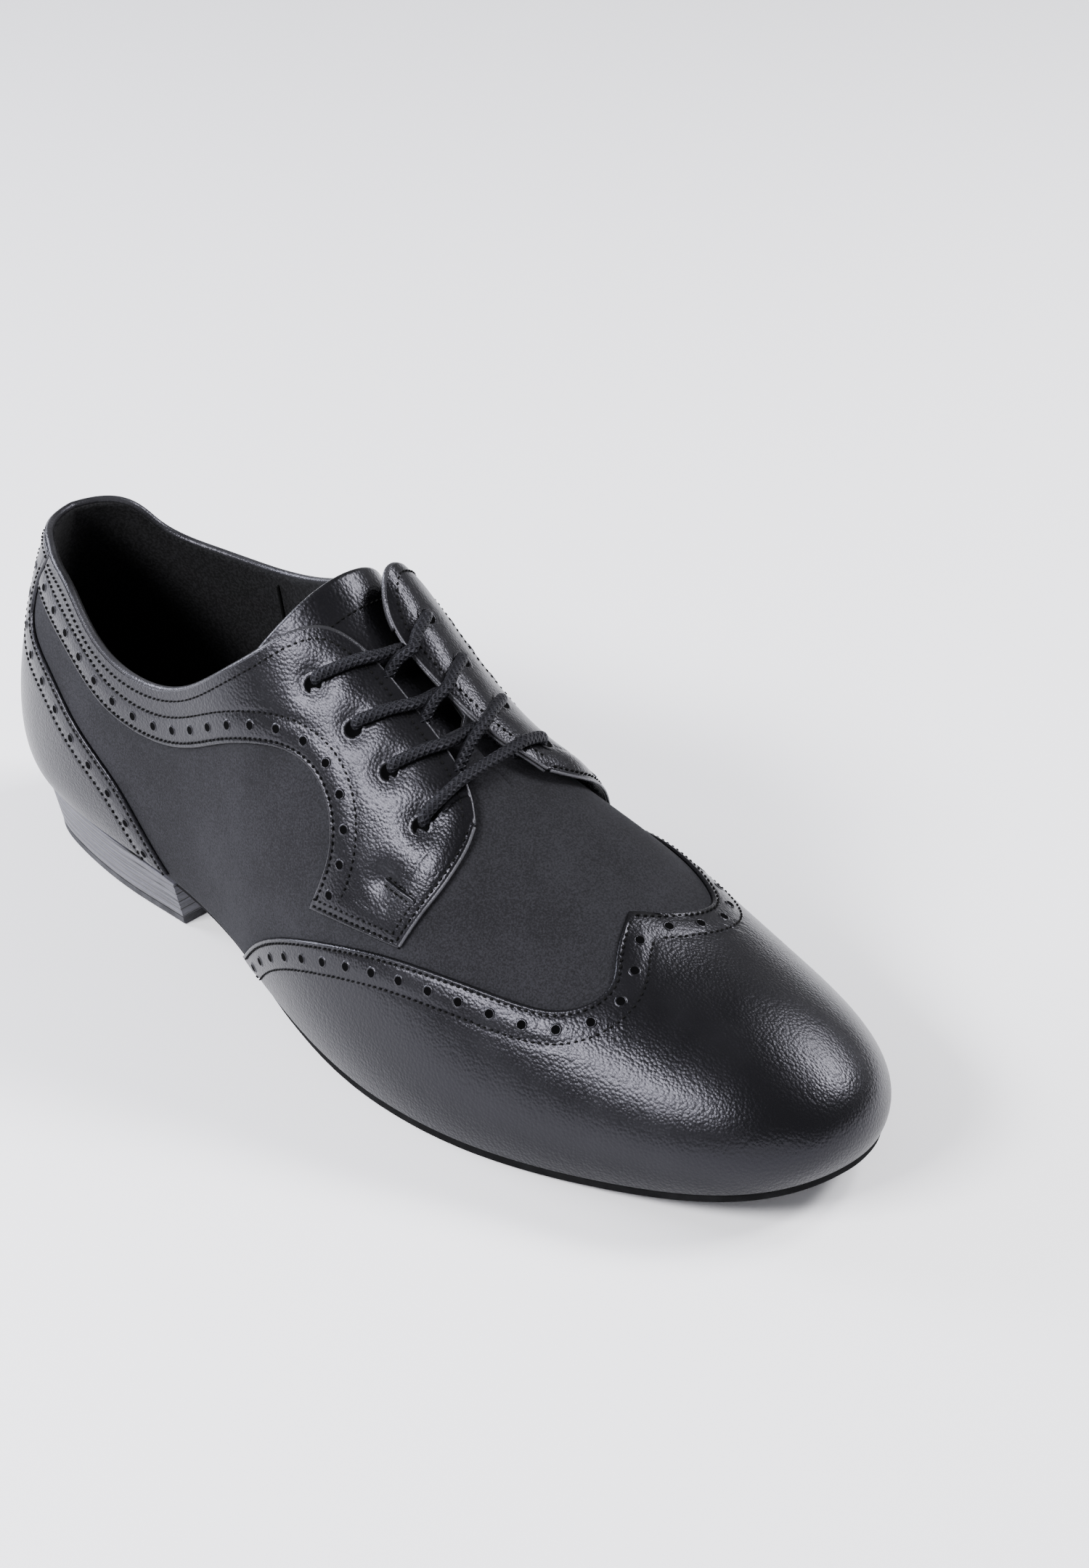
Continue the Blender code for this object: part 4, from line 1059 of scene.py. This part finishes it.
def tubeMesh(line, radius, sides):
    # points, faces, each point's turn round the line and its place along it
    along = np.gradient(line, axis=0)
    along /= np.linalg.norm(along, axis=1)[:, None]
    up = np.zeros_like(line)
    guess = np.array([0.0, 0.0, 1.0]) if abs(along[0, 2]) < 0.9 else np.array([1.0, 0.0, 0.0])
    for i in range(len(line)):
        guess = guess - along[i] * (guess @ along[i])
        guess /= np.linalg.norm(guess)
        up[i] = guess
    across = np.cross(along, up)
    angle = np.arange(sides) * 2 * pi / sides
    radius = np.broadcast_to(np.asarray(radius, float), len(line))
    ring = up[:, None] * np.cos(angle)[None, :, None] + across[:, None] * np.sin(angle)[None, :, None]
    points = (line[:, None] + ring * radius[:, None, None]).reshape(-1, 3)
    faces = []
    for i in range(len(line) - 1):
        for j in range(sides):
            k = (j + 1) % sides
            faces.append([i * sides + j, i * sides + k, (i + 1) * sides + k, (i + 1) * sides + j])
    faces.append(list(range(sides))[::-1])
    faces.append([(len(line) - 1) * sides + j for j in range(sides)])
    return points, faces, np.tile(angle, len(line)), np.repeat(np.arange(len(line)), sides)


def joinedMesh(name, parts, materials, marks=None):
    points, faces, count = [], [], 0
    for partPoints, partFaces in parts:
        points.append(partPoints)
        faces += [[k + count for k in face] for face in partFaces]
        count += len(partPoints)
    return addMesh(name, np.vstack(points), faces, materials, marks)


def offsetCurve(wt, side, distance, inward, flap=None):
    # moves a line of (station, rise) sideways over the surface by a real distance, in steps of about 1.5 mm
    wt = wt.copy()
    steps = max(1, int(round(abs(distance) / (1.5 * mm))))
    flap = last["quarterFlap"] if flap is None else flap
    e = 1e-3
    for _ in range(steps):
        w, t = wt[:, 0], wt[:, 1]
        sides = np.full(len(w), float(side))
        p = barePoint(w, t, sides, flap)
        dw = (barePoint(w + e, t, sides, flap) - p) / e
        dt = (p - barePoint(w, t - e, sides, flap)) / e
        n = np.cross(dw, dt)
        along = np.gradient(p, axis=0)
        sideways = np.cross(n, along) * inward
        sideways /= np.linalg.norm(sideways, axis=1)[:, None]
        a, b, c = (dw * dw).sum(1), (dw * dt).sum(1), (dt * dt).sum(1)
        f, g = (sideways * dw).sum(1), (sideways * dt).sum(1)
        det = a * c - b * b
        move = np.stack([(f * c - g * b) / det, (g * a - f * b) / det], 1)
        wt = wt + move * distance / steps
        if len(wt) > 8:
            pad = np.vstack([2 * wt[0] - wt[1], wt, 2 * wt[-1] - wt[-2]])
            wt = pad[1:-1] * 0.5 + (pad[:-2] + pad[2:]) * 0.25
    return wt


# Rows of thread: insets and gaps are measured over the leather, ways along the edge that a row follows
stitch = {"pitch": 1.9 * mm, "length": 1.15 * mm, "radius": 0.26 * mm, "sides": 5,
          "arch": (-1.1, 0.7, 0.7, -1.1), "taper": (0.6, 1.05, 1.05, 0.6),  # in radii, from end to end
          "over": 0.13 * mm, "flat": 0.02 * mm, "start": 0.4 * mm, "topInset": 2.6 * mm, "tabInset": 1.9 * mm,
          "bandGap": 0.5 * mm, "endGap": 1.2 * mm, "frontGap": 1.8 * mm, "frontPart": 34}
holes = {"row": 4.9 * mm, "radius": 1.15 * mm, "pitch": 9.0 * mm, "bandPitch": 8.8 * mm, "over": 0.01 * mm,
         "sides": 20,
         "lip": ((1.42, -0.06), (1.22, 0.10), (1.06, 0.15), (0.94, 0.06)),  # in radii, height in mm
         "disc": ((0.98, 0.09, 1.0), (0.5, 0.05, 0.62), (0.0, 0.04, 0.3))}  # and the radius it sinks as
tack = {"line": ((0.594, 0.525), (0.610, 0.532), (0.629, 0.540)), "medialUp": 0.045, "gap": 2.2 * mm,
        "bar": 0.75 * mm, "barSunk": 0.15 * mm, "over": 0.05 * mm}
tongueRow = {"at": 0.13, "over": 0.10 * mm}
throatRow = {"past": 0.004, "from": 0.90, "over": 0.05 * mm}
liningSeam = {"share": 0.209, "from": 0.398, "to": 0.30, "radius": 0.55 * mm, "out": 0.2 * mm}
walkStep = 0.2 * mm
stitchParts, holeShadeParts, lipParts = [], [], []


def sew(wt, side, offset, flap=None, skip=0.0, even=False):
    # a row of thread along a line of (station, rise)
    line, normal = onLast(wt[:, 0], np.minimum(wt[:, 1], 1), side, offset, flap, even=even, shaped=not even,
                          withNormal=True)
    both, at = resample(np.hstack([line, normal]), walkStep)
    arch = np.array(stitch["arch"]) * stitch["radius"]
    radius = stitch["radius"] * np.array(stitch["taper"])
    for start in np.arange(skip + stitch["start"], at[-1] - stitch["length"] - skip, stitch["pitch"]):
        pick = np.searchsorted(at, start + np.linspace(0, 1, 4) * stitch["length"])
        pick = np.minimum(pick, len(both) - 1)
        p, n = both[pick, :3], both[pick, 3:]
        stitchParts.append(tubeMesh(p + n * arch[:, None], radius, stitch["sides"])[:2])


def punch(wt, side, offset, pitch, flap=None):
    # round holes: a dished disc painted near black as the shade inside the hole, and a pressed lip round it
    line, normal = onLast(wt[:, 0], np.minimum(wt[:, 1], 1), side, offset, flap, withNormal=True)
    both, at = resample(np.hstack([line, normal]), walkStep)
    count = int(at[-1] / pitch)
    for k in range(count):
        i = min(len(both) - 2, int(round((k + 0.5) * at[-1] / count / walkStep)))
        centre, n = both[i, :3], both[i, 3:] / np.linalg.norm(both[i, 3:])
        addHole(centre, n, both[i + 1, :3] - both[i, :3], holes["radius"])


def addHole(centre, n, along, radius, sunk=None):
    # sunk: how far the leather round the hole has come up at a distance from its middle
    sunk = sunk or (lambda r: 0.0)
    a = along - n * (along @ n)
    a /= np.linalg.norm(a)
    b = np.cross(n, a)
    sides = holes["sides"]
    angle = np.arange(sides) * 2 * pi / sides
    circle = a * np.cos(angle)[:, None] + b * np.sin(angle)[:, None]
    points = np.vstack([centre + circle * radius * r + n * (h * mm + sunk(radius * r))
                        for r, h in holes["lip"]])
    faces = [[low + i, low + (i + 1) % sides, low + sides + (i + 1) % sides, low + sides + i]
             for low in range(0, (len(holes["lip"]) - 1) * sides, sides) for i in range(sides)]
    lipParts.append((points, faces))
    # the disc inside the lip, painted near black as the hole's shade
    *rings, (_, height, at) = holes["disc"]
    points = [centre + circle * radius * r + n * (h * mm + sunk(radius * follow)) for r, h, follow in rings]
    points = np.vstack(points + [[centre + n * (height * mm + sunk(radius * at))]])
    faces = [[i, (i + 1) % sides, sides + (i + 1) % sides, sides + i] for i in range(sides)]
    faces += [[sides + i, sides + (i + 1) % sides, 2 * sides] for i in range(sides)]
    holeShadeParts.append((points, faces))


threadAt = {row: float(leatherTop(np.array([row]), overlayRows)[0]) + stitch["over"] for row in overlayRows}
holeAt = float(leatherTop(np.array([holes["row"]]), overlayRows)[0]) + holes["over"]
flatAt = leather["thickness"] + stitch["flat"]


def sewOverlay(kind, side, ways, inward, clip):
    # the wing or the counter: two rows of thread and the holes between them
    line = trace(edges[kind][side], ways)
    for row in overlayRows:
        sew(clip(offsetCurve(line, side, row, inward)), side, threadAt[row])
    punch(clip(offsetCurve(line, side, holes["row"], inward)), side, holeAt, holes["pitch"])


def sewFacing(side):
    flap = last["facingFlap"]
    tab = trace(edges["band"][side], np.linspace(facing["corner"] + 0.001, 1.0, 90))
    band = trace(edges["band"][side], np.linspace(0.0, facing["corner"] - 0.001, 260))
    for row in overlayRows:
        line = aboveTab(offsetCurve(band, side, row, 1, flap), tab)
        sew(line, side, threadAt[row], flap, stitch["bandGap"])
    line = aboveTab(offsetCurve(band, side, holes["row"], 1, flap), tab)
    punch(line, side, holeAt, holes["bandPitch"], flap)
    first = leather["rowOne"]
    second = first + stitch["tabInset"]
    for row, height in ((first, threadAt[first]), (second, flatAt)):
        sew(offsetCurve(tab, side, row, 1, flap), side, height, flap, stitch["endGap"])
    front = trace(edges["tabFront"][side], np.linspace(0.0, 1.0, 90))
    sew(offsetCurve(front, side, first, 1, flap), side, threadAt[first], flap, stitch["endGap"])
    front = front[:stitch["frontPart"]]
    sew(offsetCurve(front, side, second, 1, flap), side, flatAt, flap, stitch["frontGap"])
    collar = trace(edges["topline"][side], np.linspace(0.0, 0.99, 300))
    sew(offsetCurve(collar, side, stitch["topInset"], -1, flap), side, flatAt, flap)
    strap = trace(edges["topline"][side], np.linspace(-0.118, -0.006, 60))
    sew(offsetCurve(strap, side, stitch["topInset"], -1), side, flatAt)


def sewTack(side):
    # the bar tack that holds the tab: two rows of thread over a pressed bar
    flap = last["facingFlap"]
    line = np.array(tack["line"])
    if side == medial:
        line[:, 1] += tack["medialUp"]
    line = np.stack([station(line[:, 0]), line[:, 1]], 1)
    line = Spline([0, 1, 2], line)(np.linspace(0, 2, 30))
    sew(line, side, flatAt + tack["over"], flap)
    sew(offsetCurve(line, side, tack["gap"], 1, flap), side, flatAt + tack["over"], flap)
    bar = offsetCurve(line, side, tack["gap"] / 2, 1, flap)
    bar = onLast(bar[:, 0], bar[:, 1], side, flatAt - tack["barSunk"], flap)
    lipParts.append(tubeMesh(bar, tack["bar"], 10)[:2])


def sewEverything():
    for side in (lateral, medial):
        sewOverlay("wing", side, np.linspace(0.01, 1.0, 260), -1, clipRidge)
        sewOverlay("counter", side, np.linspace(0.0, 0.965, 160), 1, clipBack)
        sewFacing(side)
        sewTack(side)
        w, t = tongueAt(np.full(60, tongueRow["at"]), np.linspace(0, 1, 60))
        sew(np.stack([w, t], 1), side, -tongue["drop"] + tongueRow["over"], even=True)
        past = station(throatEnd + throatRow["past"])
        throat = np.stack([np.full(50, past), np.linspace(throatRow["from"], 1.0, 50)], 1)
        sew(throat, side, throatRow["over"])
    rise = np.linspace(liningSeam["from"], liningSeam["to"], 40)
    seam = onLast(station(liningSeam["share"]), rise, medial, -upperCut["wall"] - liningSeam["out"])
    stitchParts.append(tubeMesh(seam, liningSeam["radius"], 8)[:2])
    finishPiece(joinedMesh("stitchRows", stitchParts, [paint["thread"]]), "lace_cord")
    # the hole discs carry painted shade
    finishPiece(joinedMesh("holeShadeDiscs", holeShadeParts, [paint["hole"]]), "toe_leather")
    finishPiece(joinedMesh("holeLips", lipParts, [paint["leather"]]), "toe_leather")
    print("stitches", len(stitchParts), "holes", len(holeShadeParts))


def aboveTab(wt, tab):
    # cuts a row off where it would run past the tab's lower edge
    floorRise = np.interp(wt[:, 0], tab[:, 0], tab[:, 1] + 0.012, left=-1, right=-1)
    near = np.arange(len(wt)) > len(wt) * 0.8
    return wt[~(near & (wt[:, 1] < floorRise))]


def clipRidge(wt):
    return wt[wt[:, 1] <= 0.999]


def clipBack(wt):
    return wt[(wt[:, 0] > 0.002) & (wt[:, 1] > 0.01)]


sewEverything()

# Lace: one round cord, laid by listed shares where it crosses a facing's edge and dives under the other
lace = {"radius": 1.60 * mm, "sides": 14, "lie": 1.62 * mm, "step": 0.5 * mm,
        "hole": 2.3 * mm, "holeShift": 0.010, "back": 0.004, "down": 0.03, "up": 0.012, "riseShare": 0.75,
        "edgeShare": {lateral: (0.496, 0.544, 0.583, 0.613), medial: (0.513, 0.552, 0.591, 0.620)},
        "dive": {lateral: (0.507, 0.550, 0.588), medial: (0.513, 0.557, 0.603)},
        "diveUp": {lateral: 1.4 * mm, medial: 0.4 * mm}, "midUp": {lateral: 0.2 * mm, medial: 1.3 * mm},
        "inside": -6.0 * mm, "inHole": -1.6 * mm, "hidden": -4.6 * mm, "rows": 3}


def overFacing(share, rise, side, height):
    return onLast(station(share), rise, side, leather["thickness"] + height, last["facingFlap"])[0]


def edgeRiseAt(side, share):
    line = trace(edges["topline"][side], np.linspace(0, 1, 400))
    return float(np.interp(station(share), line[:, 0], line[:, 1]))


def outOfHole(side, row, forward, ways):
    # up through its hole and over the facing to the edge
    share, rise = eyelets[side][row]
    edgeShare = lace["edgeShare"][side][row]
    edge = edgeRiseAt(side, edgeShare)
    path = [overFacing(share - lace["back"], rise - lace["down"], side, lace["inside"]),
            overFacing(share, rise, side, lace["inHole"]),
            overFacing(share + forward, rise + lace["up"], side, lace["lie"] * lace["riseShare"])]
    return path + [overFacing(share + (edgeShare - share) * k, rise + (edge - rise) * k, side, lace["lie"])
                   for k in ways]


def strandPath(side, row):
    # out of its hole, across, and down under the other facing towards the next hole
    path = outOfHole(side, row, 0.001, (0.35, 0.7, 1.0))
    farShare = lace["dive"][side][row]
    farEdge = edgeRiseAt(-side, farShare)
    floorAt = onLast(station(farShare), farEdge, -side, 0.0, 0.0)[0]
    dive = floorAt + np.array([0, 0, lace["radius"] + lace["diveUp"][side]])
    across = (path[-1] + dive) / 2
    across[2] += lace["midUp"][side]
    nextShare, nextRise = eyelets[-side][row + 1]
    under = (nextRise + farEdge) / 2
    hidden = onLast(station(nextShare), under, -side, lace["hidden"], last["facingFlap"])[0]
    return np.array(path + [across, dive, hidden])


def smoothPath(path):
    way = np.concatenate([[0], np.cumsum(np.linalg.norm(np.diff(path, axis=0), axis=1) ** 0.5)])
    return resample(Spline(way, path)(np.linspace(0, way[-1], 400)), lace["step"])[0]


def makeLace():
    paths = [strandPath(side, row) for row in range(lace["rows"]) for side in (lateral, medial)]
    halves = [outOfHole(side, lace["rows"], 0.0, (0.4, 0.75, 1.0)) for side in (lateral, medial)]
    paths.append(np.array(halves[0] + halves[1][::-1]))  # the straight bar nearest the toe
    parts, run, turn, length = [], [], [], 0.0
    for path in paths:
        line = smoothPath(path)
        points, faces, angle, index = tubeMesh(line, lace["radius"], lace["sides"])
        parts.append((points, faces))
        run.append(index * lace["step"] / mm)
        turn.append(angle)
        length += len(line) * lace["step"] / mm
    piece = joinedMesh("shoeLace", parts, [paint["cord"]],
                       {"run": np.concatenate(run), "turn": np.concatenate(turn)})
    finishPiece(piece, "lace_cord", "lace_bar", "lace_crossing_1", "lace_crossing_2", "lace_crossing_3")
    print("lace length shown and under the facings, mm:", round(length))


def makeEyeletHoles():
    # each lace hole gets a disc of painted shade and a leather lip
    holeShadeParts.clear()
    lipParts.clear()
    for side in (lateral, medial):
        depth = pulls["dimple"][side]
        for share, rise in eyelets[side]:
            rises = np.array([rise, rise]) - lace["holeShift"]
            p, n = onLast(station([share, share + 0.002]), rises, side, leather["thickness"],
                          last["facingFlap"], withNormal=True)
            addHole(p[0], n[0], p[1] - p[0], lace["hole"],
                    lambda r: depth * (1 - bump(r, pulls["dimpleReach"])))
    finishPiece(joinedMesh("laceHoleShadeDiscs", holeShadeParts, [paint["hole"]]), "facing_leather")
    finishPiece(joinedMesh("laceHoleLips", lipParts, [paint["leather"]]), "facing_leather")


makeLace()
makeEyeletHoles()
print("lace and lace holes made")

# Bead round the collar, and beads along each facing's cut edge, coloured lighter than the leather as a
# painted highlight
bead = {"radius": 1.15 * mm, "offset": -0.1 * mm, "sides": 12, "to": 0.72, "step": 0.8 * mm,
        "edgeRadius": 0.42 * mm, "edgeSides": 8, "edgeEnd": 0.995,
        "edges": {"topline": (0.69, (0.80 * mm, -0.45 * mm)), "tabFront": (0.02, (0.80 * mm,))}}


def makeBead():
    flap = last["facingFlap"]
    lines = []
    for side, order in ((lateral, -1), (medial, 1)):
        wt = trace(edges["topline"][side], np.linspace(toplineStart, bead["to"], 300))
        lines.append(onLast(wt[:, 0], wt[:, 1], side, bead["offset"], flap)[::order])
    line = resample(np.vstack([lines[0], lines[1][1:]]), bead["step"])[0]
    points, faces = tubeMesh(line, bead["radius"], bead["sides"])[:2]
    finishPiece(addMesh("collarBead", points, faces, [paint["edgeLeather"]]), "facing_leather")
    parts = []
    for side in (lateral, medial):
        for kind, (start, heights) in bead["edges"].items():
            wt = trace(edges[kind][side], np.linspace(start, bead["edgeEnd"], 160))
            for height in heights:
                line = resample(onLast(wt[:, 0], wt[:, 1], side, height, flap), bead["step"])[0]
                parts.append(tubeMesh(line, bead["edgeRadius"], bead["edgeSides"])[:2])
    # the edge beads take the lighter colour as a painted highlight
    finishPiece(joinedMesh("facingEdgeHighlights", parts, [paint["paintedHighlightEdge"]]), "facing_leather")


makeBead()
print("collar bead made")
